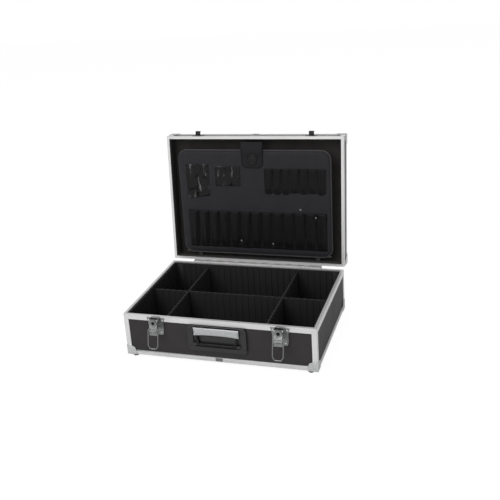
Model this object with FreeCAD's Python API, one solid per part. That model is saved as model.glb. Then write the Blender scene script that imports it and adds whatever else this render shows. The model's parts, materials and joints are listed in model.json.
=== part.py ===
import FreeCAD, Part
import math
import os

# Hard tool case with its lid open: width along X, front at -Y, up is +Z, in millimetres.
# The origin lies under the middle of the case, on the underside of the bottom panel.

# Case
case_width = 460.0
case_depth = 330.0
base_height = 105.0
lid_height = 41.5
split_gap = 0.5
panel_thickness = 4.0
lid_open_angle = 95.0
overrun = 5.0
right_angle = 90.0
along_axis_share = 0.9
soft_gap = 0.3

# Aluminium edging
metal_wall = 1.5
rim_outer_leg = 13.0
rim_inner_leg = 5.5
rim_inner_wall = 1.0
rim_groove_drop = 3.5
rim_groove_height = 0.6
rim_groove_depth = 0.4
edging_face = 11.0
post_face = 11.5
clip_width = 17.0
clip_height = 8.0
clip_thickness = 0.8

# Corner caps and their rivets
cap_thickness = 1.0
cap_reach = 23.5
cap_shoulder = 7.0
cap_belly = 19.0
cap_rivet_far = 17.5
cap_rivet_near = 5.5
rivet_head_radius = 2.2
rivet_head_height = 0.8
rivet_shank_radius = 1.2

# Feet
foot_radius = 6.5
foot_height = 5.0
foot_inset_x = 17.0
foot_inset_y = 8.5
foot_pocket_radius = 3.2
foot_pocket_depth = 2.4
foot_screw_head_radius = 2.8
foot_screw_head_height = 1.6
foot_screw_radius = 1.5

# Lining and dividers
floor_liner = 2.0
lining_sheet = 2.5
rib_height = 2.0
rib_width = 6.0
rib_pitch = 16.0
lining_top_drop = 3.0
divider_core = 3.0
divider_rib = 1.5
divider_top_drop = 9.5
left_cross_share = 8
right_cross_share = 7
halving_clearance = 0.3

# Lid hinge
hinge_offset = 5.3
hinge_drop = 1.8
knuckle_radius = 4.5
hinge_pin_radius = 1.5
hinge_bore_gap = 0.05
hinge_end_gap = 57.5
knuckle_pairs = 11
knuckle_gap = 0.4
leaf_thickness = 1.2
leaf_height = 8.0
leaf_clear = 3.2
hinge_rivet_columns = 8
leaf_rivet_edge = 16.0

# Latches: proud is measured out from the front face, drop down from the split plane
latch_inset = 81.7
latch_plate_thickness = 1.2
latch_plate_top_drop = 4.0
latch_plate_height = 42.5
latch_plate_top_half = 22.5
latch_plate_waist_half = 18.5
latch_plate_bottom_half = 16.0
ear_inner_half = 9.5
ear_thickness = 1.0
ear_reach = 17.5
ear_half_height = 3.5
fulcrum_proud = 14.5
fulcrum_drop = 5.5
lever_pin_radius = 1.2
lever_bore_gap = 0.05
lever_half = 9.2
lever_face_half = 10.0
lever_wall = 1.2
lever_top_drop = 2.0
lever_top_proud = 15.2
lever_knee_drop = 15.0
lever_knee_proud = 16.4
lever_chin_drop = 28.0
lever_chin_proud = 22.6
lever_lip_drop = 34.0
lever_lip_proud = 21.4
lip_half = 13.4
lip_end_drop = 39.0
lip_end_proud = 22.6
cheek_back_proud = 8.0
cheek_back_drop = 12.0
cheek_low_drop = 31.0
cheek_low_proud = 17.0
lever_slot_drop = 29.5
lever_slot_height = 2.4
lever_slot_half = 6.5

# Lock in the lever
lock_drop = 10.5
lock_boss_radius = 8.0
lock_boss_proud = 17.6
lock_neck_radius = 5.5
lock_neck_back = 11.0
barrel_radius = 4.3
barrel_gap = 0.05
barrel_proud = 18.0
barrel_back = 10.0
cam_thickness = 1.0
cam_half = 2.0
cam_reach = 7.4
key_slot_half_width = 0.7
key_slot_half_height = 2.8
key_slot_depth = 3.0
key_eye_radius = 1.4
keeper_gap = 0.3
keeper_thickness = 1.0
keeper_top_drop = 16.9
keeper_height = 2.4
keeper_left = 4.5
keeper_right = 3.0

# Bails and lid catches
wire_radius = 1.25
bail_half = 12.1
bail_bar_half = 7.25
bail_length = 45.0
bail_taper = 8.0
bail_bend = 3.0
bail_end_bend = 1.6
bail_end_half = 8.5
bail_bore_gap = 0.05
bail_pivot_proud = 20.5
bail_pivot_drop = 25.0
bail_lean = 14.5
catch_wire_proud = 5.0
catch_plate_half = 14.5
catch_plate_thickness = 1.2
catch_plate_below = 9.0
catch_plate_above = 6.0
catch_hook_half = 6.4
catch_hook_wall = 1.5
catch_hook_proud = 11.2
catch_hook_lip = 2.6
catch_seat_gap = 0.35
catch_rivet_x = 10.5

# Handle
surround_half = 70.0
surround_top_drop = 14.0
surround_height = 63.0
surround_proud = 5.5
surround_floor = 2.0
surround_corner = 8.0
surround_wall = 13.0
pocket_top_drop = 15.8
pocket_bottom_drop = 66.0
pocket_corner = 4.0
grip_side_gap = 3.0
grip_cover_wall = 2.0
grip_top_drop = 16.6
grip_height = 19.0
grip_core_margin = 1.0
grip_back = 3.0
grip_core_proud = 8.5
grip_cover_proud = 10.6
grip_edge_radius = 1.5
grip_notch = 3.0
arm_width = 5.0
arm_draw = 4.8
arm_straight = 5.0
handle_pivot_drop = 59.0
handle_pivot_proud = 5.8
handle_tube_radius = 2.8
handle_pin_radius = 1.5
handle_bore_gap = 0.05
handle_boss_gap = 0.6
handle_boss_half_height = 3.5
handle_boss_proud = 8.6
handle_pin_inset = 2.0
handle_screw_top_drop = 24.0
handle_screw_bottom_drop = 66.0
handle_screw_radius = 1.5
handle_screw_head = 3.0
handle_screw_height = 1.4

# Pallet in the lid: along is measured from the lid's hinge edge, behind from its rim plane
lid_liner = 1.5
pallet_side_gap = 22.0
pallet_top_gap = 23.9
pallet_corner = 25.0
pallet_board = 3.0
pallet_face = 1.5
pallet_face_inset = 4.0
pallet_edge = 2.0
pallet_edge_proud = 1.2
pallet_along = 19.8
pallet_behind = 16.4
pallet_lean = 3.0
pallet_foot = -1.5
pallet_standoff = 4.0
pallet_rod_radius = 1.5
pallet_rod_end = 5.0
pallet_bore_gap = 0.05
pallet_sleeve_radius = 2.8
pallet_sleeve_length = 22.0
pallet_sleeve_share = 0.6
pallet_sleeve_tab = 16.0
pallet_sleeve_wall = 1.0
bracket_length = 12.0
bracket_share = 0.8
bracket_half_height = 3.0
bracket_plate = 16.0
bracket_wall = 1.6

# Pockets on the pallet: places across are shares of its half width, places up are shares of its height
long_row_left_share = -0.91
long_row_right_share = 0.935
long_row_low_share = 0.065
long_row_high_share = 0.42
long_row_count = 13
long_row_proud = 7.0
loop_row_left_share = 0.145
loop_row_right_share = 0.935
loop_row_low_share = 0.61
loop_row_high_share = 0.83
loop_row_count = 7
loop_row_proud = 4.5
pocket_seam = 1.0
sleeve_left_across_shares = (-0.895, -0.595)
sleeve_left_up_shares = (0.535, 0.865)
sleeve_right_across_shares = (-0.5, -0.175)
sleeve_right_up_shares = (0.66, 0.845)
sleeve_thickness = 1.2
strap_half = 28.0
strap_low_share = 0.834
strap_thickness = 1.5
strap_end_gap = 3.8
snap_radius = 13.5
snap_up_share = 0.912
snap_height = 2.4
snap_shank_radius = 3.6
stud_radius = 3.2
stud_height = 1.6
stud_press = 0.6
lone_stud_across_share = 0.6
lone_stud_up_share = 0.449
stud_row_shares = (5 / 13, 8 / 13, 12 / 13)
stud_up_shares = (0.13, 0.111, 0.378)

# Worked out from the sizes above
half_x = case_width / 2
half_y = case_depth / 2
bottom_z = -metal_wall
split_z = bottom_z + base_height
lid_z = split_z + split_gap
lid_top_z = lid_z + lid_height
panel_x = half_x - metal_wall
panel_y = half_y - metal_wall
rim_width = metal_wall + panel_thickness + rim_inner_wall
inner_x = half_x - rim_width
inner_y = half_y - rim_width
front = -half_y
latch_x = half_x - latch_inset
hinge_length = case_width - 2 * hinge_end_gap
pocket_half = surround_half - surround_wall
handle_screw_x = surround_half - surround_wall / 2
grip_half = pocket_half - grip_side_gap
grip_core_half = grip_half - grip_cover_wall
arm_foot_half = grip_core_half - arm_draw
axis_y = half_y + hinge_offset
axis_z = split_z - hinge_drop
floor_z = panel_thickness + floor_liner
lining_x = inner_x - lining_sheet
lining_y = inner_y - lining_sheet
divider_top = split_z - divider_top_drop
divider_bottom = floor_z + soft_gap
left_cross_x = -left_cross_share * rib_pitch
right_cross_x = right_cross_share * rib_pitch
lid_wall_up = case_depth - rim_width - lid_liner - pallet_along
pallet_half = inner_x - lid_liner - pallet_side_gap
pallet_height = lid_wall_up - pallet_top_gap
pallet_rod_half = pallet_half - pallet_rod_end
pallet_back = pallet_board + pallet_standoff
catch_rise = math.sqrt(bail_length ** 2 - (bail_pivot_proud - catch_wire_proud) ** 2) - bail_pivot_drop
bail_back_lean = math.degrees(math.asin((bail_pivot_proud - catch_wire_proud) / bail_length))
bail_swing = 2 * right_angle + bail_back_lean - bail_lean

rivet_sizes = (rivet_head_radius, rivet_head_height, rivet_shank_radius)

UNIT_X = FreeCAD.Vector(1, 0, 0)
UNIT_Y = FreeCAD.Vector(0, 1, 0)
UNIT_Z = FreeCAD.Vector(0, 0, 1)
ORIGIN = FreeCAD.Vector(0, 0, 0)


def box(x0, x1, y0, y1, z0, z1):
    return Part.makeBox(x1 - x0, y1 - y0, z1 - z0, FreeCAD.Vector(x0, y0, z0))


def rod(start, direction, radius, length):
    return Part.makeCylinder(radius, length, start, direction)


def fuse(shapes):
    whole = shapes[0].multiFuse(shapes[1:]) if len(shapes) > 1 else shapes[0]
    return whole.removeSplitter()


def mirror_x(shape):
    return shape.mirror(ORIGIN, UNIT_X)


def mirror_y(shape):
    return shape.mirror(ORIGIN, UNIT_Y)


def moved(shape, x, y, z):
    copy = shape.copy()
    copy.translate(FreeCAD.Vector(x, y, z))
    return copy


def turned(shape, centre, axis, angle):
    copy = shape.copy()
    copy.rotate(centre, axis, angle)
    return copy


def four_ways(shape):
    pair = [shape, mirror_x(shape)]
    return pair + [mirror_y(one) for one in pair]


def side_prism(points, x0, x1):
    """A solid along X whose side outline is given as (proud, drop) at the front face."""
    corners = [FreeCAD.Vector(x0, front - proud, split_z - drop) for proud, drop in points]
    face = Part.Face(Part.makePolygon(corners + [corners[0]]))
    return face.extrude(UNIT_X * (x1 - x0))


def round_plate(half, low, high, corner, near, far):
    """An upright plate with round corners, between two distances along Y."""
    plate = box(-half, half, near, far, low, high)
    edges = []
    for edge in plate.Edges:
        if abs(edge.tangentAt(edge.FirstParameter).y) > along_axis_share:
            edges.append(edge)
    return plate.makeFillet(corner, edges)


def filleted_path(points, radii):
    """A wire of straight runs through the points, with an arc of its own radius at each corner."""
    edges = []
    start = points[0]
    for before, corner, after, radius in zip(points, points[1:], points[2:], radii):
        back = (before - corner).normalize()
        ahead = (after - corner).normalize()
        half_turn = back.getAngle(ahead) / 2
        reach = radius / math.tan(half_turn)
        middle_line = (back + ahead).normalize()
        middle = corner + middle_line * (radius / math.sin(half_turn) - radius)
        arc_start = corner + back * reach
        arc_end = corner + ahead * reach
        edges.append(Part.LineSegment(start, arc_start).toShape())
        edges.append(Part.Arc(arc_start, middle, arc_end).toShape())
        start = arc_end
    edges.append(Part.LineSegment(start, points[-1]).toShape())
    return Part.Wire(edges)


def wire_solid(path, radius):
    first = path.Edges[0]
    start = first.valueAt(first.FirstParameter)
    circle = Part.Wire(Part.makeCircle(radius, start, first.tangentAt(first.FirstParameter)))
    return path.makePipeShell([circle], True, True)


def plan_ring(outer_x, outer_y, wall, z0, z1):
    outer = box(-outer_x, outer_x, -outer_y, outer_y, z0, z1)
    inner = box(wall - outer_x, outer_x - wall, wall - outer_y, outer_y - wall, z0 - overrun, z1 + overrun)
    return outer.cut(inner)


def mitred(ring, z0, z1):
    """The four bars of a ring, cut at 45 degrees at its corners."""
    far_x = half_x + overrun
    far_y = half_y + overrun
    ridge = half_x - half_y
    long_wedge = [(-far_x, -far_y), (far_x, -far_y), (ridge, 0), (-ridge, 0)]
    short_wedge = [(far_x, -far_y), (far_x, far_y), (ridge, 0)]
    bars = []
    for outline in (long_wedge, short_wedge):
        corners = [FreeCAD.Vector(x, y, z0 - overrun) for x, y in outline]
        face = Part.Face(Part.makePolygon(corners + [corners[0]]))
        bar = ring.common(face.extrude(UNIT_Z * (z1 - z0 + 2 * overrun)))
        bars.append(bar)
        bars.append(mirror_y(bar) if outline is long_wedge else mirror_x(bar))
    return bars


def rim(mating_z, up):
    """A U channel round the case, its web on the mating plane and its legs away from it."""
    def span(near, far):
        return (mating_z - far, mating_z - near) if up else (mating_z + near, mating_z + far)
    outer = plan_ring(half_x, half_y, metal_wall, *span(0, rim_outer_leg))
    web = plan_ring(half_x, half_y, rim_width, *span(0, metal_wall))
    leg_x = inner_x + rim_inner_wall
    leg_y = inner_y + rim_inner_wall
    inner = plan_ring(leg_x, leg_y, rim_inner_wall, *span(0, rim_inner_leg))
    groove_span = span(rim_groove_drop, rim_groove_drop + rim_groove_height)
    groove = plan_ring(half_x, half_y, rim_groove_depth, *groove_span)
    return mitred(fuse([outer, web, inner]).cut(groove), *span(0, rim_outer_leg))


def edging(outer_z, up):
    """An L section along the outer edges of the bottom or the top."""
    z0, z1 = (outer_z, outer_z + edging_face) if up else (outer_z - edging_face, outer_z)
    f0, f1 = (outer_z, outer_z + metal_wall) if up else (outer_z - metal_wall, outer_z)
    leg = plan_ring(half_x, half_y, metal_wall, z0, z1)
    flange = plan_ring(half_x, half_y, edging_face, f0, f1)
    return mitred(fuse([leg, flange]), z0, z1)


def posts(z0, z1):
    outer = box(half_x - post_face, half_x, half_y - post_face, half_y, z0, z1)
    inner = box(half_x - post_face - overrun, panel_x, half_y - post_face - overrun, panel_y, z0, z1)
    return four_ways(outer.cut(inner))


def shell_panels(z0, z1):
    """Front, back, left and right boards between two heights; the front and back run full width."""
    inside_y = panel_y - panel_thickness
    inside_x = panel_x - panel_thickness
    front_board = box(-panel_x, panel_x, -panel_y, -inside_y, z0, z1)
    side_board = box(inside_x, panel_x, -inside_y, inside_y, z0, z1)
    return {"front": front_board, "back": mirror_y(front_board),
            "right": side_board, "left": mirror_x(side_board)}


def cap_plate(thin):
    """One face of a corner cap: a square bulged at its inner corner, thin along one axis."""
    low = -cap_thickness
    corners = [FreeCAD.Vector(x, y, low) for x, y in
               ((low, low), (cap_reach, low), (cap_reach, cap_shoulder), (cap_belly, cap_belly),
                (cap_shoulder, cap_reach), (low, cap_reach))]
    plate = Part.Face(Part.makePolygon(corners + [corners[0]])).extrude(UNIT_Z * cap_thickness)
    if thin == "x":
        return turned(plate, ORIGIN, UNIT_Y, -right_angle).mirror(ORIGIN, UNIT_X)
    if thin == "y":
        return turned(plate, ORIGIN, UNIT_X, right_angle).mirror(ORIGIN, UNIT_Y)
    return plate


def corner_cap():
    """A cap for the lower left front corner, its inner corner at the origin."""
    return fuse([cap_plate("x"), cap_plate("y"), cap_plate("z")])


def cap_rivet_places():
    """Where the rivets of a corner cap stand on its front and side faces."""
    places = []
    for along, up in ((cap_rivet_far, cap_rivet_near), (cap_rivet_near, cap_rivet_far)):
        places.append((FreeCAD.Vector(along, 0, up), UNIT_Y))
        places.append((FreeCAD.Vector(0, along, up), UNIT_X))
    return places


def rivet(point, inward, grip, head_radius, head_height, shank_radius):
    """A domed rivet: its head sits on the point's surface and its shank runs inward."""
    outward = inward * -1
    dome_radius = (head_radius ** 2 + head_height ** 2) / (2 * head_height)
    ball = Part.makeSphere(dome_radius, point + inward * (dome_radius - head_height))
    head = ball.common(rod(point, outward, head_radius, head_height))
    return fuse([head, rod(point, inward, shank_radius, grip)])


def shank(point, inward, grip, radius):
    return rod(point + inward * -overrun, inward, radius, grip + overrun)


nodes = {}


def add(name, shapes):
    nodes[name] = shapes if isinstance(shapes, list) else [shapes]


def bore(names, tools):
    """Takes the tools out of every solid of the named nodes."""
    for name in names:
        nodes[name] = [shape.cut(tools) for shape in nodes[name]]


def fasten(name, seats, grip, sizes, boards, spread=lambda shape: [shape]):
    """Rivets or screws at (point, inward) seats, and their holes in the boards that they pass."""
    head_radius, head_height, radius = sizes
    fasteners = []
    holes = []
    for point, inward in seats:
        fasteners += spread(rivet(point, inward, grip, head_radius, head_height, radius))
        holes += spread(shank(point, inward, grip, radius))
    for hole in holes:
        bore(boards, hole)
    nodes[name] = nodes.get(name, []) + fasteners


def rib_places(limit):
    """Middles of ribs half a pitch off the middle, so that grooves lie at whole pitches."""
    count = int((limit - rib_width / 2) // rib_pitch)
    return [side * (i + 1 / 2) * rib_pitch for i in range(count) for side in (-1, 1)]


def ribs_along_x(y0, y1, z0, z1, limit):
    return [box(x - rib_width / 2, x + rib_width / 2, y0, y1, z0, z1) for x in rib_places(limit)]


def ribs_along_y(x0, x1, z0, z1, limit):
    return [box(x0, x1, y - rib_width / 2, y + rib_width / 2, z0, z1) for y in rib_places(limit)]


def build_base_box():
    rim_foot = split_z - rim_outer_leg
    edging_top = bottom_z + edging_face
    add("base_bottom_panel", box(-panel_x, panel_x, -panel_y, panel_y, 0, panel_thickness))
    for side, board in shell_panels(panel_thickness, split_z - metal_wall).items():
        add("base_" + side + "_panel", board)
    add("base_rim", rim(split_z, True))
    add("base_bottom_edging", edging(bottom_z, True))
    add("base_corner_posts", posts(edging_top, rim_foot))
    cap = moved(corner_cap(), -half_x, -half_y, bottom_z)
    add("base_corner_caps", four_ways(cap))
    clip_low = bottom_z + (edging_face - clip_height) / 2
    add("base_joint_clip", box(-clip_width / 2, clip_width / 2, front - clip_thickness, front,
                               clip_low, clip_low + clip_height))


def fasten_caps(name, place, boards):
    """Rivets of four caps: each is made at one corner and brought to the others."""
    grip = metal_wall + cap_thickness + panel_thickness / 2
    seats = [(point - inward * cap_thickness, inward) for point, inward in cap_rivet_places()]
    fasten(name, seats, grip, rivet_sizes, boards, lambda shape: four_ways(place(shape)))


def build_base_fasteners():
    fasten_caps("base_rivets", lambda shape: moved(shape, -half_x, -half_y, bottom_z),
                ["base_corner_caps", "base_bottom_edging", "base_corner_posts", "base_front_panel",
                 "base_back_panel", "base_left_panel", "base_right_panel", "base_bottom_panel"])
    foot_x = half_x - foot_inset_x
    foot_y = half_y - foot_inset_y
    top = bottom_z - cap_thickness
    seat = FreeCAD.Vector(foot_x, foot_y, top)
    down = UNIT_Z * -1
    foot = rod(seat, down, foot_radius, foot_height)
    pocket = rod(seat + down * foot_height, UNIT_Z, foot_pocket_radius, foot_pocket_depth)
    head_low = top - foot_height + foot_pocket_depth - foot_screw_head_height
    head_start = FreeCAD.Vector(foot_x, foot_y, head_low)
    head = rod(head_start, UNIT_Z, foot_screw_head_radius, foot_screw_head_height)
    screw_length = -head_low + panel_thickness
    screw = fuse([head, rod(head_start, UNIT_Z, foot_screw_radius, screw_length)])
    screws = four_ways(screw)
    add("rubber_feet", four_ways(foot.cut(pocket)))
    bore(["rubber_feet", "base_corner_caps", "base_bottom_edging", "base_bottom_panel"],
         Part.makeCompound(screws))
    add("foot_screws", screws)


def build_lining():
    top = split_z - lining_top_drop
    sheet_front = box(-inner_x, inner_x, -inner_y, -lining_y, floor_z, top)
    ribs_front = ribs_along_x(-lining_y, rib_height - lining_y, floor_z, top, lining_x - rib_height)
    front_lining = fuse([sheet_front] + ribs_front)
    sheet_right = box(lining_x, inner_x, -lining_y, lining_y, floor_z, top)
    ribs_right = ribs_along_y(lining_x - rib_height, lining_x, floor_z, top, lining_y - rib_height)
    right_lining = fuse([sheet_right] + ribs_right)
    add("base_wall_lining", [front_lining, mirror_y(front_lining), right_lining, mirror_x(right_lining)])
    add("base_floor_liner", box(-inner_x, inner_x, -inner_y, inner_y, panel_thickness, floor_z))


def build_dividers():
    mid = (divider_top + divider_bottom) / 2
    core = divider_core / 2
    face = core + divider_rib
    slot = core + halving_clearance
    end_x = lining_x - soft_gap
    end_y = lining_y - soft_gap
    long_ribs = ribs_along_x(-face, face, divider_bottom, divider_top, lining_x - rib_height)
    long_wall = fuse([box(-end_x, end_x, -core, core, divider_bottom, divider_top)] + long_ribs)
    for x in (left_cross_x, right_cross_x):
        long_wall = long_wall.cut(box(x - slot, x + slot, -face - overrun, face + overrun,
                                      mid - halving_clearance, divider_top + overrun))
    add("long_divider", long_wall)
    cross_ribs = ribs_along_y(-face, face, divider_bottom, divider_top, lining_y - rib_height)
    cross_wall = fuse([box(-core, core, -end_y, end_y, divider_bottom, divider_top)] + cross_ribs)
    cross_wall = cross_wall.cut(box(-face - overrun, face + overrun, -slot, slot,
                                    divider_bottom - overrun, mid + halving_clearance))
    add("left_cross_divider", moved(cross_wall, left_cross_x, 0, 0))
    add("right_cross_divider", moved(cross_wall, right_cross_x, 0, 0))


def opened(shapes):
    """Brings lid pieces from the shut place to the open one."""
    centre = FreeCAD.Vector(0, axis_y, axis_z)
    return [turned(shape, centre, UNIT_X, -lid_open_angle) for shape in shapes]


def hinge_leaf(upper):
    """One leaf of the long hinge: plate, cranked neck and every second knuckle."""
    sign = 1 if upper else -1
    pitch = hinge_length / (2 * knuckle_pairs)
    near = axis_z + sign * leaf_clear
    far = near + sign * leaf_height
    low, high = min(near, far), max(near, far)
    plate = box(-hinge_length / 2, hinge_length / 2, half_y, half_y + leaf_thickness, low, high)
    neck_points = ((half_y, near), (half_y + leaf_thickness, near),
                   (axis_y, axis_z + sign * knuckle_radius),
                   (axis_y, axis_z + sign * (knuckle_radius - leaf_thickness)),
                   (axis_y - knuckle_radius / 2, axis_z + sign * knuckle_radius / 2))
    solids = [plate]
    for i in range(2 * knuckle_pairs):
        if (i % 2 == 0) == upper:
            x0 = -hinge_length / 2 + i * pitch + knuckle_gap / 2
            corners = [FreeCAD.Vector(x0, y, z) for y, z in neck_points]
            neck = Part.Face(Part.makePolygon(corners + [corners[0]]))
            solids.append(neck.extrude(UNIT_X * (pitch - knuckle_gap)))
            knuckle_start = FreeCAD.Vector(x0, axis_y, axis_z)
            solids.append(rod(knuckle_start, UNIT_X, knuckle_radius, pitch - knuckle_gap))
    bore_gap = hinge_bore_gap if upper else 0
    hole = rod(FreeCAD.Vector(-half_x, axis_y, axis_z), UNIT_X, hinge_pin_radius + bore_gap, case_width)
    return fuse(solids).cut(hole)


def build_hinge():
    add("hinge_base_leaf", hinge_leaf(False))
    add("hinge_lid_leaf", hinge_leaf(True))
    pin_start = FreeCAD.Vector(-hinge_length / 2, axis_y, axis_z)
    add("hinge_pin", rod(pin_start, UNIT_X, hinge_pin_radius, hinge_length))
    spacing = (hinge_length - 2 * leaf_rivet_edge) / (hinge_rivet_columns - 1)
    grip = leaf_thickness + metal_wall + panel_thickness
    for name, sign, boards in (("base_rivets", -1, ["hinge_base_leaf", "base_rim", "base_back_panel"]),
                               ("lid_rivets", 1, ["hinge_lid_leaf", "lid_rim", "lid_long_panels"])):
        z = axis_z + sign * (leaf_clear + leaf_height / 2)
        first = FreeCAD.Vector(leaf_rivet_edge - hinge_length / 2, half_y + leaf_thickness, z)
        seats = [(first + UNIT_X * (i * spacing), UNIT_Y * -1) for i in range(hinge_rivet_columns)]
        fasten(name, seats, grip, rivet_sizes, boards)


def shield_outline():
    """The latch plate's outline: wide at the top, drawn in at the waist, narrow at the bottom."""
    top = split_z - latch_plate_top_drop
    bottom = top - latch_plate_height
    waist = (top + bottom) / 2
    quarter = (top + waist) / 2
    low_quarter = (bottom + waist) / 2

    def at(x, z):
        return FreeCAD.Vector(x, front, z)
    upper_half = (latch_plate_top_half + latch_plate_waist_half) / 2 - latch_plate_thickness
    lower_half = (latch_plate_bottom_half + latch_plate_waist_half) / 2 + latch_plate_thickness
    edges = [Part.LineSegment(at(-latch_plate_top_half, top), at(latch_plate_top_half, top)),
             Part.Arc(at(latch_plate_top_half, top), at(upper_half, quarter),
                      at(latch_plate_waist_half, waist)),
             Part.Arc(at(latch_plate_waist_half, waist), at(lower_half, low_quarter),
                      at(latch_plate_bottom_half, bottom)),
             Part.LineSegment(at(latch_plate_bottom_half, bottom), at(-latch_plate_bottom_half, bottom)),
             Part.Arc(at(-latch_plate_bottom_half, bottom), at(-lower_half, low_quarter),
                      at(-latch_plate_waist_half, waist)),
             Part.Arc(at(-latch_plate_waist_half, waist), at(-upper_half, quarter),
                      at(-latch_plate_top_half, top))]
    return Part.Face(Part.Wire([edge.toShape() for edge in edges]))


def latch_plate():
    plate = shield_outline().extrude(UNIT_Y * -latch_plate_thickness)
    ears = []
    for side in (-1, 1):
        x0 = side * ear_inner_half if side > 0 else -ear_inner_half - ear_thickness
        ear = side_prism([(0, fulcrum_drop - ear_half_height),
                          (fulcrum_proud, fulcrum_drop - ear_half_height),
                          (ear_reach, fulcrum_drop), (fulcrum_proud, fulcrum_drop + ear_half_height),
                          (0, fulcrum_drop + 2 * ear_half_height)], x0, x0 + ear_thickness)
        ears.append(ear.common(box(x0, x0 + ear_thickness, front - ear_reach, front, 0, split_z)))
    arm_back = barrel_back + keeper_gap
    arm_front = arm_back + keeper_thickness
    arm = side_prism([(arm_back, keeper_top_drop), (arm_front, keeper_top_drop),
                      (arm_front, keeper_top_drop + keeper_height),
                      (arm_back, keeper_top_drop + keeper_height)],
                     -keeper_left, keeper_right)
    leg = side_prism([(0, keeper_top_drop), (arm_front, keeper_top_drop),
                      (arm_front, keeper_top_drop + keeper_height), (0, keeper_top_drop + keeper_height)],
                     -keeper_left, -keeper_left + keeper_thickness)
    return fuse([plate, arm, leg] + ears)


def front_rod(x, drop, proud_from, proud_to, radius):
    start = FreeCAD.Vector(x, front - proud_from, split_z - drop)
    return rod(start, UNIT_Y * -1, radius, proud_to - proud_from)


def latch_lever():
    """The lever: two cheeks, a folded face, the lock boss and the thumb lip."""
    cheek_points = [(lever_top_proud, lever_top_drop), (lever_knee_proud, lever_knee_drop),
                    (lever_chin_proud, lever_chin_drop), (lever_lip_proud, lever_lip_drop),
                    (cheek_low_proud, cheek_low_drop), (cheek_back_proud, cheek_back_drop),
                    (cheek_back_proud, fulcrum_drop), (fulcrum_proud - lever_wall, lever_top_drop)]
    cheeks = [side_prism(cheek_points, -lever_half, lever_wall - lever_half),
              side_prism(cheek_points, lever_half - lever_wall, lever_half)]
    top = side_prism([(lever_top_proud, lever_top_drop), (lever_knee_proud, lever_knee_drop),
                      (lever_knee_proud - lever_wall, lever_knee_drop),
                      (lever_top_proud - lever_wall, lever_top_drop)], -lever_half, lever_half)
    face = side_prism([(lever_knee_proud, lever_knee_drop), (lever_chin_proud, lever_chin_drop),
                       (lever_lip_proud, lever_lip_drop), (lever_lip_proud - lever_wall, lever_lip_drop),
                       (lever_chin_proud - lever_wall, lever_chin_drop),
                       (lever_knee_proud - lever_wall, lever_knee_drop)], -lever_half, lever_half)
    lip = side_prism([(lever_lip_proud, lever_lip_drop), (lip_end_proud, lip_end_drop),
                      (lip_end_proud - lever_wall, lip_end_drop),
                      (lever_lip_proud - lever_wall, lever_lip_drop)], -lever_half, lever_half)
    lip_foot = (lever_lip_drop + lip_end_drop) / 2
    lip_middle = (lever_lip_proud + lip_end_proud) / 2
    wide_lip = side_prism([(lip_middle, lip_foot), (lip_end_proud, lip_end_drop),
                           (lip_end_proud - lever_wall, lip_end_drop),
                           (lip_middle - lever_wall, lip_foot)], -lip_half, lip_half)
    boss = front_rod(0, lock_drop, lever_top_proud - lever_wall, lock_boss_proud, lock_boss_radius)
    neck = front_rod(0, lock_drop, lock_neck_back, lock_boss_proud, lock_neck_radius)
    lever = fuse(cheeks + [top, face, lip, wide_lip, boss, neck])
    hole = front_rod(0, lock_drop, 0, lock_boss_proud + overrun, barrel_radius + barrel_gap)
    slot_low = split_z - lever_slot_drop - lever_slot_height
    slot = box(-lever_slot_half, lever_slot_half, front - lever_chin_proud - overrun,
               front - cheek_low_proud, slot_low, slot_low + lever_slot_height)
    fulcrum = FreeCAD.Vector(-lever_face_half, front - fulcrum_proud, split_z - fulcrum_drop)
    pivot = FreeCAD.Vector(-lever_face_half, front - bail_pivot_proud, split_z - bail_pivot_drop)
    pin_hole = rod(fulcrum, UNIT_X, lever_pin_radius + lever_bore_gap, 2 * lever_face_half)
    bail_hole = rod(pivot, UNIT_X, wire_radius + bail_bore_gap, 2 * lever_face_half)
    return lever.cut(Part.makeCompound([hole, slot])).cut(pin_hole).cut(bail_hole)


def lever_pins():
    pins = []
    for side in (-1, 1):
        inner = lever_half - lever_wall
        start = FreeCAD.Vector(side * inner, front - fulcrum_proud, split_z - fulcrum_drop)
        length = ear_inner_half + ear_thickness - lever_half + lever_wall
        pins.append(rod(start, UNIT_X * side, lever_pin_radius, length))
    return pins


def lock_barrel():
    """Barrel with its key slot, and the cam behind it, turned to the side when unlocked."""
    barrel = front_rod(0, lock_drop, barrel_back, barrel_proud, barrel_radius)
    centre_z = split_z - lock_drop
    slot = box(-key_slot_half_width, key_slot_half_width, front - barrel_proud - overrun,
               front - barrel_proud + key_slot_depth, centre_z - key_slot_half_height,
               centre_z + key_slot_half_height)
    eye = front_rod(0, lock_drop, barrel_proud - key_slot_depth, barrel_proud + overrun, key_eye_radius)
    cam = box(-cam_half, cam_reach, front - barrel_back, front - barrel_back + cam_thickness,
              centre_z - cam_half, centre_z + cam_half)
    hub = front_rod(0, lock_drop, barrel_back - cam_thickness, barrel_back, cam_half)
    return fuse([barrel.cut(slot).cut(eye), cam, hub])


def bail():
    """The wire bail, hanging from its ears and leaning on the lever's lip."""
    long_end = bail_length - bail_taper
    half_side = [FreeCAD.Vector(bail_end_half, 0, 0), FreeCAD.Vector(bail_half, 0, 0),
                 FreeCAD.Vector(bail_half, 0, -long_end), FreeCAD.Vector(bail_bar_half, 0, -bail_length)]
    other_side = [FreeCAD.Vector(-point.x, point.y, point.z) for point in reversed(half_side)]
    radii = [bail_end_bend, bail_bend, bail_bend, bail_bend, bail_bend, bail_end_bend]
    loop = wire_solid(filleted_path(half_side + other_side, radii), wire_radius)
    loop = turned(loop, ORIGIN, UNIT_X, -bail_lean)
    return moved(loop, 0, front - bail_pivot_proud, split_z - bail_pivot_drop)


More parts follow.
